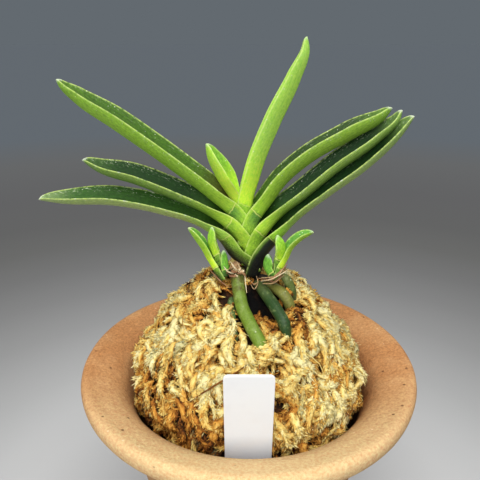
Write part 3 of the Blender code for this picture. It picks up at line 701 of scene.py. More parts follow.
HAND_LIFT = 2.5 * MM
hand_paths = np.stack([laid(row[2], HAND_LIFT, BRANCH_STATIONS) for row in HAND_LAID])
hand_girth = np.array([row[0] for row in HAND_LAID]) * MM
print(len(hand_paths), "branches laid by hand")

# %% Colour of each branch
# Where the moss is rusty: x, y, height above the rim and size of the patch, in mm
RUST_PLACES = np.array([
    (-19, 2, 21, 5.5), (-24, -20, 8, 4.5), (-15.4, -34.5, -3, 9),
    (-13, -32.5, 6, 5), (-21, 14, 18, 6), (-31, -16, -6, 6),
    (13.5, -16, 21, 4), (6, -36, 6, 4), (22, 12, 18, 7),
    (-10, 26, 12, 7)]) * MM


def moss_tone(random, middle, proud):
    """How pale a strand is: slow patches of amber and cream, darker towards the bottom and at the
    rusty places, plus its own chance; proud adds painted shade for strands that lie low.
    """
    patch = ripples(middle, 24 * MM, 31) * 0.07 + ripples(middle, 8 * MM, 32) * 0.11
    low = smoothstep((RIM + 4 * MM - middle[:, 2]) / (14 * MM))
    own = random.normal(0, 0.07, len(middle))
    away = np.linalg.norm(middle - (RUST_PLACES[:, None, :3] + UP), axis=-1)
    near = np.exp(-(away / RUST_PLACES[:, 3:])**2).max(axis=0)
    return np.clip(0.745 + patch + own + proud - 0.16 * low - 0.3 * near, 0.1, 0.98)


HALFWAY = BRANCH_STATIONS // 2
# Painted shade: strands that lie low among the others are darker, and the short filling branches
# darker still
tuft_tone = moss_tone(random, tuft_paths[:, HALFWAY], random.normal(-0.02, 0.15, TUFTS)[tuft]
                      + (tuft_lift / MM - 1.2) * 0.09)
short_tone = moss_tone(random, short_paths[:, HALFWAY], short_lift / MM * 0.06 - 0.24)
branch_paths = np.concatenate([hand_paths, tuft_paths, short_paths])
girth = np.concatenate([hand_girth, tuft_girth, short_girth])
branch_tone = np.concatenate([[row[1] - 0.08 for row in HAND_LAID], tuft_tone, short_tone])
# Painted shade: branches near the hollow under the plant are darker, where the deep shadow falls
from_hollow = np.linalg.norm(branch_paths[:, HALFWAY] - HOLLOW_CENTRE, axis=1)
branch_tone = branch_tone - 0.5 * np.exp(-(from_hollow / (7.5 * MM))**2)
branch_green = ((random.uniform(size=len(branch_paths)) < 0.07)
                * random.uniform(0.2, 0.8, len(branch_paths)))
print(len(branch_paths), "branches coloured")

# %% Branch bodies
def cross_frames(paths):
    """Two directions across each path at each station: one in the mound's surface, one out."""
    forward = unit(np.gradient(paths, axis=1))
    out = unit(paths - HEART)
    side = unit(np.cross(forward, out))
    return forward, side, unit(np.cross(side, forward))


def strands(paths, half_width, half_height, sides):
    """Many closed tapering tubes at once, as points, quads and triangles.

    A ring is an ellipse across the path.  All tubes share one pattern of faces, shifted by the
    number of points in a tube.
    """
    count, stations, _ = paths.shape
    forward, side, up = cross_frames(paths)
    circle = around(sides)
    rings = (paths[:, :, None] + side[:, :, None] * (half_width * circle[:, 0])[..., None]
             + up[:, :, None] * (half_height * circle[:, 1])[..., None])
    points = np.concatenate([rings.reshape(count, -1, 3), paths[:, [0, -1]]], axis=1)
    quads, triangles = tube_faces(stations, sides)
    shift = (np.arange(count) * points.shape[1])[:, None, None]
    return points, quads + shift, triangles + shift


steps = np.linspace(0, 1, BRANCH_STATIONS)
fullness = (np.sqrt(np.clip((steps + 0.02) / 0.12, 0, 1))
            * (1 - 0.66 * smoothstep((steps - 0.45) / 0.55)))[None, :, None]
rough = random.uniform(0.66, 1.2, (len(branch_paths), BRANCH_STATIONS, BRANCH_SIDES))
half_width = girth[:, None, None] * fullness * rough
# Painted light and shade on the branch bodies: the upper side is paler, the flanks and underside
# darker, the ends that dip into the core darker, and the end caps darker still
lit_upper_side = around(BRANCH_SIDES)[:, 1]
body_tone_and_shade = (branch_tone[:, None, None] + 0.22 * (lit_upper_side - 0.75) + (rough - 0.93) * 0.4
             + 0.16 * (np.sin(np.pi * steps)[None, :, None] - 0.7))
body_tone_and_shade = np.concatenate([body_tone_and_shade.reshape(len(branch_paths), -1),
                            np.repeat(branch_tone[:, None] - 0.12, 2, axis=1)], axis=1)
BRANCH_PIECES = 3
for k, part in enumerate(np.array_split(np.arange(len(branch_paths)), BRANCH_PIECES)):
    bodies = strands(branch_paths[part], half_width[part], half_width[part] * 0.7,
                     BRANCH_SIDES)
    new_piece("moss_branches_%d" % (k + 1), bodies, moss,
              {"tone": np.clip(body_tone_and_shade[part].ravel(), 0.02, 1),
               "green": np.repeat(branch_green[part], body_tone_and_shade.shape[1])})

# %% [markdown]
# Each leaf scale is a flattened pyramid of four faces: two corners on the branch, a raised spine
# and a pointed tip that leans away from the branch towards its end.

# %% Leaf scales on the branches
SCALES = 92000


def leaf_scales(root, forward, side, out, long, wide, splay):
    """Pyramids of four faces: base corners, a tip ahead and outwards, and a raised middle."""
    lean = forward * np.cos(splay)[:, None] + out * np.sin(splay)[:, None]
    tip = root + lean * long[:, None]
    left = root + side * wide[:, None] - out * 0.12 * MM
    right = root - side * wide[:, None] - out * 0.12 * MM
    spine = root + lean * (long * 0.42)[:, None] + out * (wide * 0.4)[:, None]
    points = np.stack([left, right, tip, spine], axis=1)
    pattern = np.array([[0, 2, 3], [2, 1, 3], [1, 0, 3], [0, 1, 2]])
    return points, (pattern[None] + (np.arange(len(root)) * 4)[:, None, None]).reshape(-1, 3)


forward, side, up = cross_frames(branch_paths)
span = np.linalg.norm(np.diff(branch_paths, axis=1), axis=2).sum(axis=1)
chance = np.cumsum(span * girth)
which = np.searchsorted(chance / chance[-1], random.uniform(size=SCALES))
where = random.uniform(0.05, 1, SCALES)**1.15 * (BRANCH_STATIONS - 1.02)
cell = where.astype(int)
part = (where - cell)[:, None]
middle = branch_paths[which, cell] * (1 - part) + branch_paths[which, cell + 1] * part
roll = random.uniform(-0.18 * math.pi, 1.18 * math.pi, SCALES)
size = girth[which] * (fullness[0, cell, 0] * (1 - part[:, 0]) + fullness[0, cell + 1, 0]
                       * part[:, 0])
outward = side[which, cell] * np.cos(roll)[:, None] + up[which, cell] * np.sin(roll)[:, None]
offset = (side[which, cell] * (size * np.cos(roll))[:, None]
          + up[which, cell] * (size * 0.66 * np.sin(roll))[:, None]) * 0.88
askew = random.normal(0, 0.2, SCALES)[:, None]
ahead = forward[which, cell]
sideways = unit(np.cross(ahead, outward))
ahead, sideways = ahead + sideways * askew, sideways - ahead * askew
points, triangles = leaf_scales(
    middle + offset, unit(ahead), unit(sideways), outward,
    random.uniform(0.8, 2.1, SCALES) * MM, random.uniform(0.17, 0.44, SCALES) * MM,
    0.03 + 0.75 * random.uniform(0, 1, SCALES)**1.6)
# Painted light and shade on the scales: paler on top of each branch, darker on its flanks and
# underside and towards its ends; the ripples are the moss's own patches
shade = (0.24 * (np.sin(roll) - 0.55) + 0.07 * ripples(middle, 4 * MM, 33)
         + 0.14 * (np.sin(np.pi * (cell + part[:, 0]) / (BRANCH_STATIONS - 1)) - 0.75))
scale_tone_and_shade = branch_tone[which] + shade + random.normal(0, 0.07, SCALES)
# Painted shade at each scale's base corners, tucked against the branch, and painted light at its
# tip
marks = np.clip(scale_tone_and_shade[:, None] + np.array([-0.07, -0.07, 0.06, 0]), 0.02, 1)
greens = np.repeat(branch_green[which], 4)
SCALE_PIECES = 2
share = SCALES // SCALE_PIECES
for k in range(SCALE_PIECES):
    first, last = k * share, (k + 1) * share
    scales = points[first:last], [], triangles[first * 4:last * 4] - first * 4
    new_piece("moss_leaf_scales_%d" % (k + 1), scales, moss,
              {"tone": marks[first:last].ravel(), "green": greens[first * 4:last * 4]})

# %% Thin loose fibres
FIBRES = 300
FIBRE_STATIONS = 7
TWIG_LIFT = 4.4 * MM
TWIGS = [  # half width in mm, tone, places
    (0.24, 0.26, [(45.2, -119), (41, -111), (37.4, -103), (32, -89)]),
    (0.16, 0.4, [(16, -148), (22, -146), (29, -140)]),
    (0.15, 0.84, [(30, -60), (36, -52), (44, -49)])]
random = np.random.default_rng(21)
along, turn = scatter(random, FIBRES)
reach = random.uniform(3.5, 9, FIBRES) * MM
lift = random.uniform(1.2, 2.9, FIBRES) * MM
paths = creeping(random, along, turn, headings(random, along, 0.9), reach, FIBRE_STATIONS, lift,
                 0.6, 0.12)
girth = random.uniform(0.1, 0.24, FIBRES) * MM
keep = lies_clear(paths, 0.5, 6.5, 30)
paths, girth, lift = paths[keep], girth[keep], lift[keep]
# Painted shade: fibres that lie lower are darker
tone = moss_tone(random, paths[:, 3], (lift - 1.9 * MM) / MM * 0.06 - 0.24)
paths = np.concatenate([paths, [laid(row[2], TWIG_LIFT, FIBRE_STATIONS) for row in TWIGS]])
girth = np.append(girth, [row[0] * MM for row in TWIGS])
tone = np.append(tone, [row[1] for row in TWIGS])
steps = np.linspace(0, 1, FIBRE_STATIONS)
taper = (0.15 + 0.85 * np.sin(np.pi * (0.1 + 0.85 * steps)))[None, :, None]
half_width = girth[:, None, None] * taper * np.ones((1, 1, 4))
fibres = strands(paths, half_width, half_width * 0.6, 4)
tone = np.repeat(tone, fibres[0].shape[1])
new_piece("moss_fibres", fibres, moss, {"tone": tone, "green": 0 * tone})

# %% [markdown]
# ## Leaves
# Each leaf of a wind orchid is a strip folded along its midrib.  Its foot is a sheath that wraps
# the younger leaves, so the fan is a stack of nested channels, and a pale line marks the joint
# where the blade will one day fall from the sheath.  The formula is the CAD's, but the sheet gets
# a fleshy thickness, rounded margins and a ridge under the midrib.

# %% One folded leaf
SHEATH_ROUNDING = 2.2
SHEATH_HOLLOW = 1.3
FOLD_BEND = 0.1
TIP_BLUNTNESS = 2.6
TIP_ROUNDING = 0.62
TIP_WIDTH = 0.05
CAMBER = 0.05


def crowded(count):
    """Places from -1 to 1 that crowd at the midrib and at both margins."""
    even = np.linspace(-1, 1, count)
    return even - 0.8 / (2 * math.pi) * np.sin(2 * math.pi * even)


def leaf_sheet(leaf, half_depth, rows, columns):
    """The middle surface of a leaf, rows along it by columns from the near margin to the far.

    The keel is a curve in the fan's plane.  In the sheath a row is a rounded channel as deep as
    half_depth says for its height.  Past the joint it opens into a blade, a fold whose halves
    lean out of the plane by the near and far angles.  Returns the grid, and for each row its
    station, its half width, how far it has opened and how far the tip has narrowed it.
    """
    keel, station = smooth_path(np.array(leaf["keel"]) * MM, rows, ease=0.45)
    tangent = unit(np.gradient(keel, station, axis=0))
    inward = np.stack([-tangent[:, 1], tangent[:, 0]], axis=1) * leaf["side"]
    across = crowded(columns)
    part = np.abs(across)[None, :]
    joint = leaf["joint"] * MM
    opened = smoothstep((station - joint) / (leaf["opening"] * MM))[:, None]
    tip = (station / station[-1] - leaf["taper_from"]) / (1 - leaf["taper_from"])
    tip = np.clip(tip, 0, 1)
    taper = np.maximum(1 - tip**TIP_BLUNTNESS, 0)**TIP_ROUNDING
    taper = (taper * (1 - TIP_WIDTH) + TIP_WIDTH)[:, None]
    sheath_in = leaf["reach"] * MM * part**SHEATH_HOLLOW
    sheath_height = keel[:, 1][:, None] + sheath_in * inward[:, 1][:, None]
    rounded = (1 - (1 - part)**SHEATH_ROUNDING)**(1 / SHEATH_ROUNDING)
    sheath_out = half_depth(sheath_height) * rounded
    lean = np.radians(np.where(across < 0, leaf["near"], leaf["far"]))[None, :]
    fold = np.sqrt(part**2 + FOLD_BEND**2) - FOLD_BEND
    fold /= math.sqrt(1 + FOLD_BEND**2) - FOLD_BEND
    camber = CAMBER * np.sin(np.pi * part)
    width = leaf["blade"] * MM * taper
    blade_in = width * (fold * np.cos(lean) - camber * np.sin(lean))
    blade_out = width * (part * np.sin(lean) + camber * np.cos(lean))
    offset_in = sheath_in * (1 - opened) + blade_in * opened
    offset_out = sheath_out * (1 - opened) + blade_out * opened
    grid = np.empty((rows, columns, 3))
    grid[:, :, 0] = keel[:, 0][:, None] + offset_in * inward[:, 0][:, None]
    grid[:, :, 1] = leaf["depth"] * MM + offset_out * np.sign(across)[None, :]
    grid[:, :, 2] = RIM + keel[:, 1][:, None] + offset_in * inward[:, 1][:, None]
    half_width = (leaf["reach"] * MM * (1 - opened) + width * opened)[:, 0]
    return grid, station, half_width, opened[:, 0], taper[:, 0]


def shell(top, bottom):
    """Points and faces of a closed sheet from its two sides, which share their side margins.

    The ends are closed by a strip of faces between the two sides' end rows.
    """
    rows, columns, _ = top.shape
    upper = np.arange(rows * columns).reshape(rows, columns)
    lower = upper.copy()
    lower[:, 1:-1] = rows * columns + np.arange(rows * (columns - 2)).reshape(rows, -1)
    points = np.concatenate([top.reshape(-1, 3), bottom[:, 1:-1].reshape(-1, 3)])

    def sheet(index):
        return np.stack([index[:-1, :-1], index[1:, :-1], index[1:, 1:], index[:-1, 1:]],
                        axis=-1).reshape(-1, 4)

    quads = [sheet(upper), sheet(lower)[:, ::-1]]
    triangles = []
    for row, flip in ((0, 1), (-1, -1)):
        u, l = upper[row], lower[row]
        quads.append(np.stack([u[1:-2], u[2:-1], l[2:-1], l[1:-2]], axis=1)[:, ::flip])
        triangles.append(np.array([[u[0], u[1], l[1]], [u[-2], u[-1], l[-2]]])[:, ::flip])
    return points, np.concatenate(quads), np.concatenate(triangles)


# %% [markdown]
# The colour of a leaf changes from foot to tip and from its outer to its inner side, and the far
# half of the outer face is painted darker as shade, so it is worked out per point and carried as a
# colour attribute.  The material adds what is finer than the grid: lengthwise veins, a painted
# highlight along the margin, the joint line, the silvery tip and tiny specks.

# %% Waxy leaf finish
waxy = Finish("waxy_leaf", 0.48, 0.16)
past_joint, from_margin = waxy.mark("joint_mm"), waxy.mark("margin_mm")
lanes = waxy.add("CombineXYZ", {0: waxy.mark("across_mm"), 1: waxy.mark("along_mm")})[0]
vein = waxy.grain(1, 3, 0.6, waxy.stretch((2.6, 0.1, 1), lanes))
cells = waxy.grain(1.9, 4, 0.65, waxy.stretch((1, 0.5, 1), lanes))
skin = waxy.overlay(0.26, waxy.mark("skin", "Color"), vein, (0.25, 128, 132, 112),
                    (0.5, 188, 188, 186), (0.75, 238, 240, 214))
skin = waxy.overlay(0.46, skin, cells, (0.3, 118, 126, 104), (0.7, 244, 246, 214))
uneven = waxy.grain(1, 2, place=waxy.stretch((0.3, 0.9, 1), lanes))
# Painted highlight: a pale band, broken by noise, where light catches the rounded margin
edge = waxy.times(waxy.rise(from_margin, 0.46, 0.12), waxy.rise(uneven, 0.25, 0.6))
skin = waxy.mix(waxy.times(edge, waxy.mark("margin_highlight")), skin, (206, 226, 132))
crooked = waxy.sway(waxy.grain(1, 2, place=waxy.stretch((0.5, 0.5, 1), lanes)), 1.3)
line = waxy.maths("ABSOLUTE", waxy.maths("ADD", past_joint, crooked))
line = waxy.times(waxy.rise(line, 0.24, 0.08), waxy.mark("joint_light"))
skin = waxy.mix(line, skin, (214, 228, 122))
speckled = waxy.times(waxy.dots(1.4, 0.24, 0.36, lanes), waxy.rise(from_margin, 2.6, 0.2),
                      waxy.rise(past_joint, 2, 12), 0.85)
skin = waxy.mix(speckled, skin, (236, 244, 220))
scuff = waxy.rise(waxy.grain(1, 5, 0.8, waxy.stretch((2.2, 0.55, 1), lanes)), 0.54, 0.66)
skin = waxy.mix(waxy.times(scuff, waxy.mark("silver")), skin, (214, 224, 200))
silver = waxy.maths("ADD", waxy.mark("tip_mm"), waxy.times(vein, 1.4))
silver = waxy.times(waxy.rise(silver, 1.8, 0.7), waxy.mark("tip_light"))
skin = waxy.mix(silver, skin, (214, 222, 206))
stain = waxy.times(waxy.mark("age"), waxy.rise(waxy.grain(2.6, 4, 0.8, lanes), 0.48, 0.6))
skin = waxy.mix(stain, skin, (52, 50, 38))
mottle = waxy.times(waxy.rise(waxy.grain(0.9, 5, 0.8, lanes), 0.42, 0.62), 0.26)
skin = waxy.mix(mottle, skin, (214, 226, 112), "SOFT_LIGHT")
pepper = waxy.times(waxy.dots(2.2, 0.3, 0.22, lanes), waxy.rise(past_joint, 3, -1), 0.55)
skin = waxy.mix(pepper, skin, (66, 74, 44))
bumps = waxy.relief(cells, 0.00016, 0.35, waxy.relief(vein, 0.0001, 0.6))
gloss = waxy.maths("ADD", waxy.times(vein, 0.16), 0.4)
waxy.connect(Base_Color=skin, Normal=bumps, Roughness=gloss)

# %% Grow one leaf
LEAF_DEFAULTS = dict(slot="leaf", reach=4.6, depth=0, opening=9, thin=0.42, thick=1,
                     taper_from=0.62, line_at=0, slant=1.6)
# edge sets the strength of the painted highlight along the margin
LOOK_DEFAULTS = dict(fade=16, edge=0.7, line=0.9, tip=0.85, age=0.35, silver=0.15,
                     # Below a set height in mm the sheath's foot is painted dark as shade
                     patch_to=0.75, foot_to=1.1, dark_top=0)
# The outer face's near half takes the outer colour and its far half the darker back colour:
# painted light on the near half, painted shade on the far half
LOOK_COLOURS = "outer inner base_outer base_inner end sheath patch foot back".split()


def looks(*colours, **numbers):
    """A leaf's screen colours in the order of LOOK_COLOURS, and the strengths of its marks."""
    return dict(LOOK_DEFAULTS, **{name: paint(*colour) for name, colour
                                  in zip(LOOK_COLOURS, colours)}, **numbers)


def blend(first, second, share):
    """Two linear colours mixed by a share per point."""
    share = share[..., None]
    return np.asarray(first) * (1 - share) + np.asarray(second) * share


def grow_leaf(leaf, half_depth, rows=110, columns=33):
    """Give the sheet its fleshy thickness and its colours, and put it in the scene.

    Half the thickness is a superellipse across the leaf, so the margins are round.  A narrow bell
    at the midrib makes the ridge below.
    """
    leaf = dict(LEAF_DEFAULTS, **leaf)
    grid, station, half_width, opened, taper = leaf_sheet(leaf, half_depth, rows, columns)
    normal = unit(np.cross(np.gradient(grid, axis=0), np.gradient(grid, axis=1))) * leaf["side"]
    across = crowded(columns)[None, :]
    fleshy = leaf["thin"] * (1 - opened) + leaf["thick"] * opened * (0.35 + 0.65 * taper)
    bulge = np.maximum(1 - np.abs(across)**7, 0)**0.5 * (0.72 + 0.28 * (1 - across**2))
    half = fleshy[:, None] * MM * 0.5 * bulge
    ridge = 0.22 * MM * np.exp(-(across / 0.07)**2) * (opened * taper)[:, None]
    inner = grid + normal * (half - ridge * 0.3)[..., None]
    outer = grid - normal * (half + ridge)[..., None]

    past = (station / MM - leaf["joint"] - leaf["line_at"])[:, None]
    past = past + leaf["slant"] * (1 - np.abs(across)) - 0.4
    to_tip = ((station[-1] - station) / MM)[:, None] + 0 * across
    margin = (1 - np.abs(across)) * half_width[:, None] / MM
    look = leaf["looks"]
    blade_part = smoothstep(past / 0.5)
    young = smoothstep((past - 1) / look["fade"])
    colours = {}
    for face in ("outer", "inner"):
        blade = blend(look["base_" + face], look[face], young)
        blade = blend(blade, look["end"], smoothstep(1 - to_tip / 12) * 0.5)
        # Painted shade: the far half of the outer face, which faces away from the light, is
        # blended into the darker back colour
        if face == "outer" and "back" in look:
            blade = blend(blade, look["back"], smoothstep(across / 0.2) * 0.8 * young)
        sheath = blend(look["patch"], look["sheath"], smoothstep(-past / look["fall"]))
        sheath = blend(sheath, look["sheath"],
                       smoothstep((np.abs(across) - look["patch_to"]) / 0.15))
        # Painted shade: below a set height the sheath is blended into the foot colour, darker down
        # towards the moss at the fan's foot
        dark = smoothstep((look["dark_top"] * MM - (grid[:, :, 2] - RIM)) / (4.5 * MM))
        sheath = blend(sheath, look["foot"],
                       dark * smoothstep(1.2 - np.abs(across) * look["foot_to"]))
        colours[face] = blend(sheath, blade, blade_part)
    skin = np.concatenate([colours["inner"].reshape(-1, 4),
                           colours["outer"][:, 1:-1].reshape(-1, 4)])

    def both(values):
        values = np.broadcast_to(values, grid.shape[:2])
        return np.concatenate([values.ravel(), values[:, 1:-1].ravel()])

    marks = {"skin": skin, "across_mm": both(across * half_width[:, None] / MM),
             "along_mm": both(station[:, None] / MM + leaf["joint"] * 7),
             "margin_mm": both(margin), "joint_mm": both(past), "tip_mm": both(to_tip),
             "margin_highlight": both(look["edge"] * (0.9 + 0.1 * blade_part)),
             "joint_light": both(look["line"]), "tip_light": both(look["tip"]),
             "age": both(look["age"] * (1 - blade_part)
                         * smoothstep((0.92 - np.abs(across)) / 0.3)),
             "silver": both(look["silver"] * smoothstep((past - 4) / 10)
                            * smoothstep(1 - margin / 2.6))}
    new_piece(leaf.get("name", leaf["node"] + "_leaf"), shell(inner, outer), waxy,
              marks, [leaf.get("stands_for", "leaf_" + leaf["node"])])


# %% [markdown]
# The main fan has eight leaves.  The list runs from the youngest, in the middle, to the oldest,
# and each older sheath lies one step further out than the ones it wraps.

# %% The eight leaves of the fan
GREEN = (140, 186, 64)
LIME = (196, 238, 72)
FAN = [
    dict(node="centre_new", name="young_centre_leaf", slot="new_leaf", side=-1, joint=6.5,
         blade=5.2, near=54, far=26, reach=3, taper_from=0.45, keel=[(-2.4, 45), (-3.1, 47.8),
         (-5.4, 53.3), (-8.9, 59.8), (-11.3, 65.2), (-12, 68.8)], looks=looks((192, 238, 84),
         (128, 180, 62), (212, 250, 84), LIME, (150, 206, 90), LIME, LIME, GREEN, fall=4, fade=14,
         line=0, tip=0.4, age=0)),
    dict(node="centre_tall", name="tall_centre_leaf", slot="new_leaf", side=1, joint=9, blade=4.7,
         near=34, far=30, reach=4.2, taper_from=0.48, keel=[(-0.2, 42.6), (0.1, 45.4), (1, 53),
         (3.2, 62.4), (7.8, 74.3), (13, 86), (15.2, 93.6), (14.7, 96.6)],
         looks=looks((166, 216, 96), (160, 210, 88), (194, 240, 70), LIME, (164, 214, 108),
         (156, 204, 70), (148, 196, 66), GREEN, fall=4, fade=20, line=0.4, tip=0.4, age=0.1)),
    dict(node="left_upper", side=-1, joint=9, blade=5.8, near=48, far=25, line_at=2.2,
         keel=[(-1.2, 39.6), (-2.4, 42.4), (-5.2, 47.4), (-10.4, 52.8), (-20.4, 60.9),
         (-37.4, 73.5), (-47.1, 80.4), (-50.8, 84.3), (-51.6, 86)], looks=looks((146, 192, 74),
         (70, 106, 34), (166, 210, 74), (96, 96, 44), (112, 150, 66), (162, 206, 74),
         (104, 152, 72), GREEN, (104, 148, 60), fall=5.5, age=0.15, silver=0.35)),
    dict(node="right_upper", side=1, joint=9, blade=5.3, near=44, far=40, taper_from=0.72,
         line_at=2.6, keel=[(0.6, 37.6), (1.5, 40.2), (2.6, 45.4), (5.8, 51.3), (9.9, 57.5),
         (17.2, 64.1), (28.1, 70.6), (36.8, 76), (38.7, 78.6)], looks=looks((154, 198, 80),
         (44, 68, 28), (160, 208, 70), (78, 112, 42), (120, 160, 72), (158, 202, 72),
         (98, 146, 70), GREEN, (104, 148, 62), fall=6, age=0.2, silver=0.35)),
    dict(node="left_middle", side=-1, joint=11, blade=5.6, near=58, far=27, line_at=1.6,
         keel=[(-0.6, 34.6), (-1.8, 37.2), (-5.4, 43), (-11.2, 48.2), (-20.8, 53), (-32.6, 57.9),
         (-43.1, 61.5), (-47, 64.3)], looks=looks((136, 172, 92), (24, 60, 16), (172, 216, 76),
         (58, 92, 36), (96, 128, 76), (172, 214, 74), (140, 188, 66), GREEN, (84, 124, 54), fall=4,
         silver=0.7, age=0.15)),
    dict(node="right_middle", side=1, joint=11, blade=5.2, near=55, far=30, line_at=0.3,
         keel=[(2.2, 32), (2.8, 34.6), (4.5, 41), (9, 47.7), (15.8, 53.4), (24.9, 61.4),
         (35.6, 69.6), (40.9, 75.6), (41.5, 78)], looks=looks((158, 198, 104), (18, 52, 14),
         (170, 216, 72), (46, 80, 32), (132, 168, 96), (160, 204, 70), (134, 184, 64),
         (106, 140, 56), (84, 124, 54), fall=5, dark_top=40, silver=0.6)),
    # The left lower leaf's purplish grey foot is painted shade at the fan's foot
    dict(node="left_lower", side=-1, joint=13, blade=5.6, near=61, far=38, line_at=0.6, slant=-0.6,
         keel=[(-0.6, 29.6), (-1.6, 32), (-5, 35), (-9.2, 41.2), (-13.8, 44.7), (-24.9, 48.7),
         (-39.2, 51.6), (-54, 52), (-60.8, 52.8)], looks=looks((160, 190, 122), (46, 84, 28),
         (156, 198, 88), (62, 96, 40), (146, 166, 122), (150, 194, 72), (100, 124, 66),
         (50, 44, 48), (84, 118, 56), patch_to=0.5, fall=9, dark_top=42, silver=1, line=0.6, age=1,
         foot_to=0.9)),
    # The right lower leaf's near-black patch and foot are painted shade, behind the right offshoot
    dict(node="right_lower", side=1, joint=12, blade=5.2, near=60, far=38, taper_from=0.7,
         line_at=1.3, slant=1, keel=[(3.2, 28.6), (3.7, 30.6), (5, 35), (9.3, 41.4), (14, 46.9),
         (23.1, 54.4), (33.8, 62.8), (42.2, 71.9), (45, 76.4)], looks=looks((154, 186, 112),
         (18, 52, 14), (142, 190, 62), (44, 74, 34), (134, 166, 100), (112, 146, 64), (40, 42, 48),
         (24, 24, 32), (84, 120, 56), patch_to=0.76, fall=60, dark_top=39, silver=0.9, line=0.5,
         age=0.7, foot_to=0.5)),
]
STEM_PATH = np.array([(1.9, 22, 1.8), (1.5, 30, 1.6), (0.4, 37, 1.2), (-1.4, 45.5, 0.7)]) * MM
SHEATH_CLEARANCE = 0.5 * MM
SHEATH_STEP = 0.7 * MM
RAMP_LENGTH = 3 * MM
attach = [leaf["keel"][0][1] * MM for leaf in FAN]
for layer, leaf in enumerate(FAN):
    def half_depth(height, layer=layer):
        """The stem's radius at this height, plus a step for each younger sheath inside."""
        younger = sum(smoothstep((height - attach[k] + RAMP_LENGTH) / RAMP_LENGTH)
                      for k in range(layer))
        core = np.interp(height, STEM_PATH[:, 1], STEM_PATH[:, 2])
        return core + SHEATH_CLEARANCE + SHEATH_STEP * younger

    grow_leaf(leaf, half_depth)

# %% [markdown]
# ## Offshoots
# Two young fans stand in front of the old one, left and right.  Each has three small leaves, made
# by the same function on a smaller scale.

# %% Leaves of the offshoots
SHOOT_LOOKS = looks((162, 212, 64), (84, 140, 54), (188, 228, 62), (156, 206, 60), (112, 168, 70),
                    (104, 142, 60), (126, 170, 60), (52, 50, 42), fall=2.4, dark_top=35.6,
                    fade=6, edge=0.55, line=0.95, tip=0.45, age=0.8)
# Painted shade: the small leaves tucked inside each offshoot, next to the main fan, are darker,
# with a weaker margin highlight
SHADED_SMALL_LOOKS = dict(SHOOT_LOOKS, outer=paint(84, 140, 56), base_outer=paint(104, 160, 58),
                   sheath=paint(76, 126, 52), patch=paint(84, 136, 54), edge=0.4)
SHOOTS = [
    dict(name="offshoot_left", depth=-6, reach=2.1, stem=[(-0.7, 0.3, 29.8, 0.9),
         (-4.2, -1.4, 30.2, 0.95), (-7.3, -4.6, 31.6, 0.85), (-9, -6, 35.4, 0.5)], leaves=[
        dict(node="leaf_upright", side=-1, joint=3.6, blade=2.3, near=36, far=36,
             keel=[(-9.6, 34.4), (-10.1, 36.8), (-11, 40.4), (-11.3, 43.4), (-10.6, 46.4)],
             looks=SHOOT_LOOKS),
        dict(node="leaf_inner", side=1, joint=2.6, blade=1.7, near=36, far=36, keel=[(-5.9, 31.6),
             (-5.7, 33), (-6.3, 35.4), (-7.3, 39.2)], looks=SHADED_SMALL_LOOKS),
        dict(node="leaf_outer", side=-1, joint=4.2, blade=2.4, near=46, far=36, keel=[(-8.6, 30.4),
             (-9.6, 32.2), (-11.5, 36), (-13.1, 39.6), (-15.2, 43), (-17.3, 46.1)],
             looks=SHOOT_LOOKS)]),
    dict(name="offshoot_right", depth=-6.8, reach=2.2, stem=[(3.5, -1.4, 28.8, 0.8),
         (6.2, -3.8, 29.4, 0.9), (7.5, -6.2, 30.8, 0.9), (8.3, -6.8, 34.4, 0.5)], leaves=[
        dict(node="leaf_upright", side=1, joint=3.4, blade=3, near=40, far=40, keel=[(9.2, 33.4),
             (9.3, 35.6), (9.9, 38.6), (9.5, 42), (8, 44.2)], looks=SHOOT_LOOKS),
        dict(node="leaf_small", side=-1, joint=2, blade=2.6, near=38, far=38, keel=[(5.9, 30.6),
             (5.6, 31.8), (4.6, 34.2), (4.8, 36.4), (5.4, 38.3)], looks=SHADED_SMALL_LOOKS),
        dict(node="leaf_arching", side=1, joint=3.4, blade=2.5, near=52, far=34, keel=[(9.2, 31.2),
             (9.4, 32.8), (10.8, 37), (12.2, 40.4), (14.9, 43.2), (18.2, 45.1)],
             looks=SHOOT_LOOKS)]),
]
for shoot in SHOOTS:
    stem = np.array(shoot["stem"]) * MM
    for layer, leaf in enumerate(shoot["leaves"]):
        def half_depth(height, stem=stem, layer=layer):
            """The short stem's radius at this height, plus a step for each leaf inside."""
            core = np.interp(height, stem[:, 2], stem[:, 3])
            return core + SHEATH_CLEARANCE + SHEATH_STEP * layer

        node = shoot["name"] + "_" + leaf["node"]
        leaf.update(name=node.replace("leaf_", "") + "_leaf", stands_for=node,
                    depth=shoot["depth"], opening=4, reach=shoot["reach"], thin=0.36,
                    thick=0.7, slot="new_leaf", slant=0.9)
        grow_leaf(leaf, half_depth, rows=64, columns=25)

# %% [markdown]
# ## Roots and stems
# The roots are thick, round and green where light reaches them.  They come from the stem's foot
# and run into the moss.  Each is a ring carried along its route, with slow swellings and fine
# cross wrinkles, and its colour goes from brownish at the top to green.

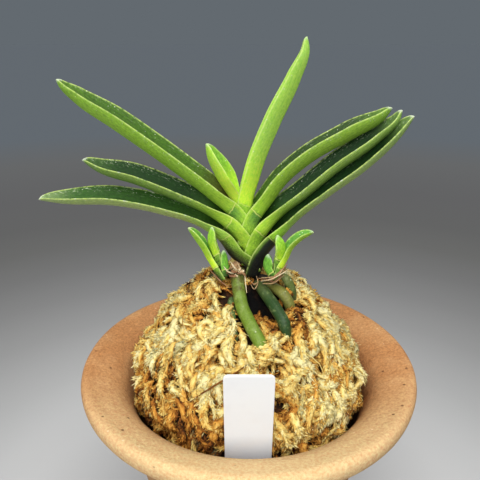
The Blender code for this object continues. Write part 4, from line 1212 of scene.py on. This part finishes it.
# %% Root and stem finishes
def bark(name, tones, roughness, wrinkle):
    """A finish whose colour runs along the piece, with blotches and fine cross wrinkles."""
    wood = Finish(name, roughness, 0.25)
    blotch = wood.sway(wood.grain(420, 4, 0.6), 0.6)
    tone = wood.ramp(wood.maths("ADD", wood.mark("down"), blotch), tones)
    patch = wood.rise(wood.grain(300, 4, 0.7), 0.5, 0.66)
    tone = wood.mix(wood.times(patch, 0.38), tone, (150, 166, 108))
    worn = wood.rise(wood.grain(700, 5, 0.75), 0.56, 0.7)
    tone = wood.mix(wood.times(worn, 0.45), tone, (56, 54, 34))
    fine = wood.grain(2200, 3, 0.6)
    tone = wood.overlay(0.3, tone, fine, (0.3, 128, 124, 112), (0.7, 236, 236, 222))
    tone = wood.mix(wood.times(wood.dots(560, 0.2, 0.14), 0.6), tone, (206, 214, 176))
    lines = wood.maths("SINE", wood.times(wood.mark("run_mm"), wrinkle))
    bumps = wood.relief(wood.times(lines, wood.grain(500)), 0.00006, 0.5)
    wood.connect(Base_Color=tone, Normal=wood.relief(fine, 0.00012, 0.5, bumps))
    return wood


# %% Roots
def tube_rings(route, sides, swell, seed):
    """Rings round a route of x, y, z and radius.

    The reference direction is the one in which the route spreads least, so it is never along the
    route and the rings don't twist.  The radius is varied by smooth lumps.
    """
    middle = route[:, :3]
    forward = unit(np.gradient(middle, axis=0))
    _, _, axes = np.linalg.svd(middle - middle.mean(0))
    first = unit(axes[2] - forward * (forward @ axes[2])[:, None])
    second = np.cross(forward, first)
    circle = around(sides)
    ring = first[:, None] * circle[:, :1] + second[:, None] * circle[:, 1:2]
    skin = middle[:, None, :] + ring * route[:, 3][:, None, None]
    lumps = (1 + swell * ripples(skin, 6 * MM, seed)
             + swell * 0.35 * ripples(skin, 2 * MM, seed + 1))
    return middle[:, None, :] + ring * (route[:, 3][:, None] * lumps)[:, :, None]


def rounded_end(route):
    """Close the route's far end in a half ball: the radius follows a quarter circle there."""
    length = run_along(route[:, :3])
    left = np.clip((length[-1] - length) / route[-1, 3], 0, 1)
    route = route.copy()
    route[:, 3] *= np.sqrt(np.maximum(1 - (1 - left)**2, 0.02))
    return route, length


def round_piece(name, node, points_mm, stations, sides, swell, seed, finish):
    """A closed round piece along a route, which carries its length for the finish to read."""
    route, run = rounded_end(round_route(points_mm, stations))
    marks = {"down": np.append(np.repeat(run / run[-1], sides), [0, 1]),
             "run_mm": np.append(np.repeat(run / MM, sides), [0, run[-1] / MM])}
    new_piece(name, capped(tube_rings(route, sides, swell, seed)), finish, marks, [node])


ROOT_STATIONS = 130
ROOT_SIDES = 48
ROOT_SEED = 50
for number, (node, (name, _, points_mm, tones)) in enumerate(ROOTS.items()):
    round_piece(name, node, points_mm, ROOT_STATIONS, ROOT_SIDES, 0.03, ROOT_SEED + number,
                bark(name, tones, 0.42, 9))

# %% Stems
stem_finish = bark("old_stem", [(0, 34, 28, 24), (0.6, 40, 38, 38), (1, 60, 64, 44)], 0.6, 6)
STEMS = [("fan_stalk", "main_stem", [(x / MM, 0, z / MM, r / MM) for x, z, r in STEM_PATH])]
STEMS += [(shoot["name"] + "_stalk", shoot["name"] + "_stem", shoot["stem"]) for shoot in SHOOTS]
STEM_STATIONS = 60
STEM_SIDES = 32
STEM_SEED = 80
for number, (name, node, points_mm) in enumerate(STEMS):
    round_piece(name, node, points_mm, STEM_STATIONS, STEM_SIDES, 0.04, STEM_SEED + number,
                stem_finish)

# %% [markdown]
# ## Dry remains of old sheaths
# Old leaves leave torn, papery strips round the stem's foot.  Each is a thin curled ribbon that
# narrows to a ragged point.

# %% Papery finish
dry = Finish("papery_sheath", 0.75, 0.3)
fibre = dry.grain(1800, 4, 0.65, dry.stretch((1, 1, 0.35)))
base = dry.ramp(dry.maths("ADD", dry.mark("pale"), dry.sway(fibre, 0.7)),
                [(0, 74, 40, 28), (0.4, 140, 96, 66), (0.75, 202, 168, 124),
                 (1, 240, 226, 190)])
dry.connect(Base_Color=base, Normal=dry.relief(fibre, 0.00012, 0.8))

# %% Curled ribbons
# Name, CAD node, width in mm, twist at both ends, paleness, and path above the rim in mm
RIBBONS = [
    ("right_sheath_scrap", "sheath_scrap_right", 0.95, 0.5, 1.6, 0.5, [(2.8, -6.6, 30.6),
     (4, -7.6, 30.8), (6.2, -10.6, 32), (9.4, -10.8, 35.4), (10.4, -10.6, 36.8)]),
    ("left_sheath_scrap", "sheath_scrap_left", 1.5, 0.5, 1.6, 0.55, [(-2.6, -2.9, 33.6),
     (-4.2, -5.2, 34.6), (-5.9, -8.2, 34.2)]),
    ("pale_spike_one", None, 0.45, 1.3, 1.7, 0.95, [(-3, -7.4, 33.2), (-4.2, -8.2, 34.8),
     (-5.4, -8.6, 37)]),
    ("pale_spike_two", None, 0.38, 1.2, 1.5, 0.8, [(-2.2, -7.6, 33), (-2.6, -8.4, 34.6),
     (-3.4, -8.6, 36.8)]),
    ("pale_spike_three", None, 0.4, 1.4, 1.8, 0.92, [(-4.4, -7.6, 32.6), (-6, -8.4, 33.6),
     (-7.4, -8.8, 35.6)]),
    ("brown_crumb", None, 1, 0.4, 1.2, 0.5, [(-2.8, -8, 32.6), (-1.8, -9, 33.2),
     (-0.8, -9, 32.4)]),
    ("red_strip", None, 0.45, 0.9, 1.3, 0.42, [(-11.2, -8.6, 34.2), (-8.8, -9.8, 31.8),
     (-6.6, -10.4, 30.2), (-5.4, -10.2, 29.4)]),
    ("root_skin_strip", None, 0.42, 1.5, 1.5, 0.96, [(-1.2, -8.4, 32.2), (-1, -10, 30.2),
     (-0.7, -11.6, 28.4)]),
    ("stem_base_flake", None, 0.6, 0.8, 1.4, 0.5, [(0.4, -6.2, 29.8), (1.4, -7.8, 29.2),
     (2.6, -8.6, 30.4)]),
    ("stem_base_thread", None, 0.35, 0.4, 1, 0.7, [(0.6, -5.8, 28.2), (1.6, -7.6, 27.6),
     (2.6, -7.6, 29.6), (2.2, -6.6, 31.4)]),
    ("right_thread_one", None, 0.28, 1, 1.6, 0.85, [(3.4, -8, 30.4), (6.4, -10.9, 32.4),
     (9, -11.4, 34.2), (11.2, -11, 35.6)]),
    ("right_thread_two", None, 0.26, 0.7, 1.4, 0.3, [(4.6, -8.6, 31.6), (6.8, -11, 31.6),
     (9.6, -11.2, 34.8), (10.8, -10.8, 38)]),
    ("right_thread_three", None, 0.34, 1.2, 1.9, 0.66, [(4, -8, 29.6), (7, -10.4, 31),
     (10, -10.6, 33.6)]),
    ("right_thread_four", None, 0.3, 0.9, 1.2, 0.74, [(3.6, -7.6, 31.4), (5.4, -9.8, 32.4),
     (8.2, -10.9, 33.6), (9.8, -11, 36.2)]),
]
CRUMBS = 18
random = np.random.default_rng(7)
for k in range(CRUMBS):
    start = np.array([-3.2, -7.9, 33.3]) + random.normal(0, 1, 3) * [1.2, 0.5, 0.9]
    way = unit(random.normal(size=3) + [0, -0.4, 0.3]) * random.uniform(0.5, 1.1)
    bow = random.normal(0, 0.25, 3)
    RIBBONS.append(("stem_crumb_%d" % (k + 1), None, random.uniform(0.3, 0.8),
                    random.uniform(0, 1.5), 2, random.uniform(0.25, 0.95),
                    [start - way, start + bow, start + way]))


def ribbon(points_mm, width, twist_low, twist_high, rows=40, columns=11):
    """A thin closed strip: a row of points across, turned by a twist that grows along the path.

    The width rises fast, stays, and falls to a point, and the row bows like a gutter.
    """
    path, length = smooth_path(points_mm, rows)
    path = path * MM + UP
    forward = unit(np.gradient(path, axis=0))
    lift = unit(np.array([0, 0.2, 1]) - forward * (forward @ [0, 0.2, 1])[:, None])
    side = np.cross(forward, lift)
    step = length / length[-1]
    turn = twist_low + (twist_high - twist_low) * step
    across_way = side * np.cos(turn)[:, None] + lift * np.sin(turn)[:, None]
    out = np.cross(across_way, forward)
    half = width * MM / 2 * (0.25 + 0.75 * np.sin(np.pi * np.clip(0.12 + 0.8 * step, 0, 1)))
    half *= smoothstep((1.02 - step) / 0.35)**0.7 + 0.02
    across = crowded(columns)
    sheet = (path[:, None, :] + across_way[:, None, :] * (half[:, None] * across)[..., None]
             + out[:, None, :] * (half[:, None] * 0.45 * across**2)[..., None])
    thickness = 0.09 * MM * np.sqrt(np.maximum(1 - across**6, 0))[None, :, None]
    normal = unit(np.cross(np.gradient(sheet, axis=0), np.gradient(sheet, axis=1)))
    return shell(sheet + normal * thickness, sheet - normal * thickness)


for name, node, width, twist_low, twist_high, pale, points_mm in RIBBONS:
    strip = ribbon(points_mm, width, twist_low, twist_high)
    new_piece(name, strip, dry, {"pale": np.full(len(strip[0]), pale)},
              [node] if node else [])

# %% [markdown]
# ## Label
# A blank white plastic label is pushed in between moss and lip.  A plate with sharp edges would
# look cut from paper, so its outline is carried over the edge in a small round.

# %% White plastic and the plate
white = Finish("white_label", 0.38, 0.45)
height = white.add("SeparateXYZ", {0: white.place})["Z"]
# Painted shade: the label's lower part, down in the pot, is a bluish grey
tone = white.mix(white.rise(height, 0.106, 0.078), (251, 253, 255), (226, 238, 252))
smudge = white.times(white.rise(white.grain(160), 0.4, 0.75), 0.3)
white.connect(Base_Color=white.mix(smudge, tone, (236, 238, 242)),
              Normal=white.relief(white.grain(1400), 0.00004, 0.4))
CORNER = 1.3 * MM
TOE = 3 * MM
EDGE = 0.16 * MM


def label_loop(inset):
    """The outline moved in by an inset: quarter circles above and chamfered corners below."""
    half = LABEL_WIDTH / 2 - inset
    turn = np.linspace(0, math.pi / 2, 10)
    round_size = CORNER - inset
    top = -inset
    right = np.stack([half - round_size + round_size * np.cos(turn),
                      top - round_size + round_size * np.sin(turn)], axis=1)
    left = right[::-1] * np.array([-1, 1])
    foot = -LABEL_LENGTH + inset
    low = np.array([(-half, foot + TOE), (-half + TOE, foot), (half - TOE, foot),
                    (half, foot + TOE)])
    return np.concatenate([right, left, low])


bevel = np.linspace(0, math.pi / 2, 5)
loops = []
for sign, order in ((1, bevel[::-1]), (-1, bevel)):
    for angle in order:
        outline = label_loop(EDGE * (1 - math.cos(angle)))
        level = sign * (LABEL_THICKNESS / 2 - EDGE * (1 - math.sin(angle)))
        loops.append(LABEL_TOP + np.outer(outline[:, 0], [1, 0, 0])
                     - np.outer(outline[:, 1], label_down) + label_front * level)
label = new_piece("blank_label", capped(np.stack(loops)), white,
                  nodes=["name_label"])
for polygon in label.data.polygons:
    polygon.use_smooth = len(polygon.vertices) == 4
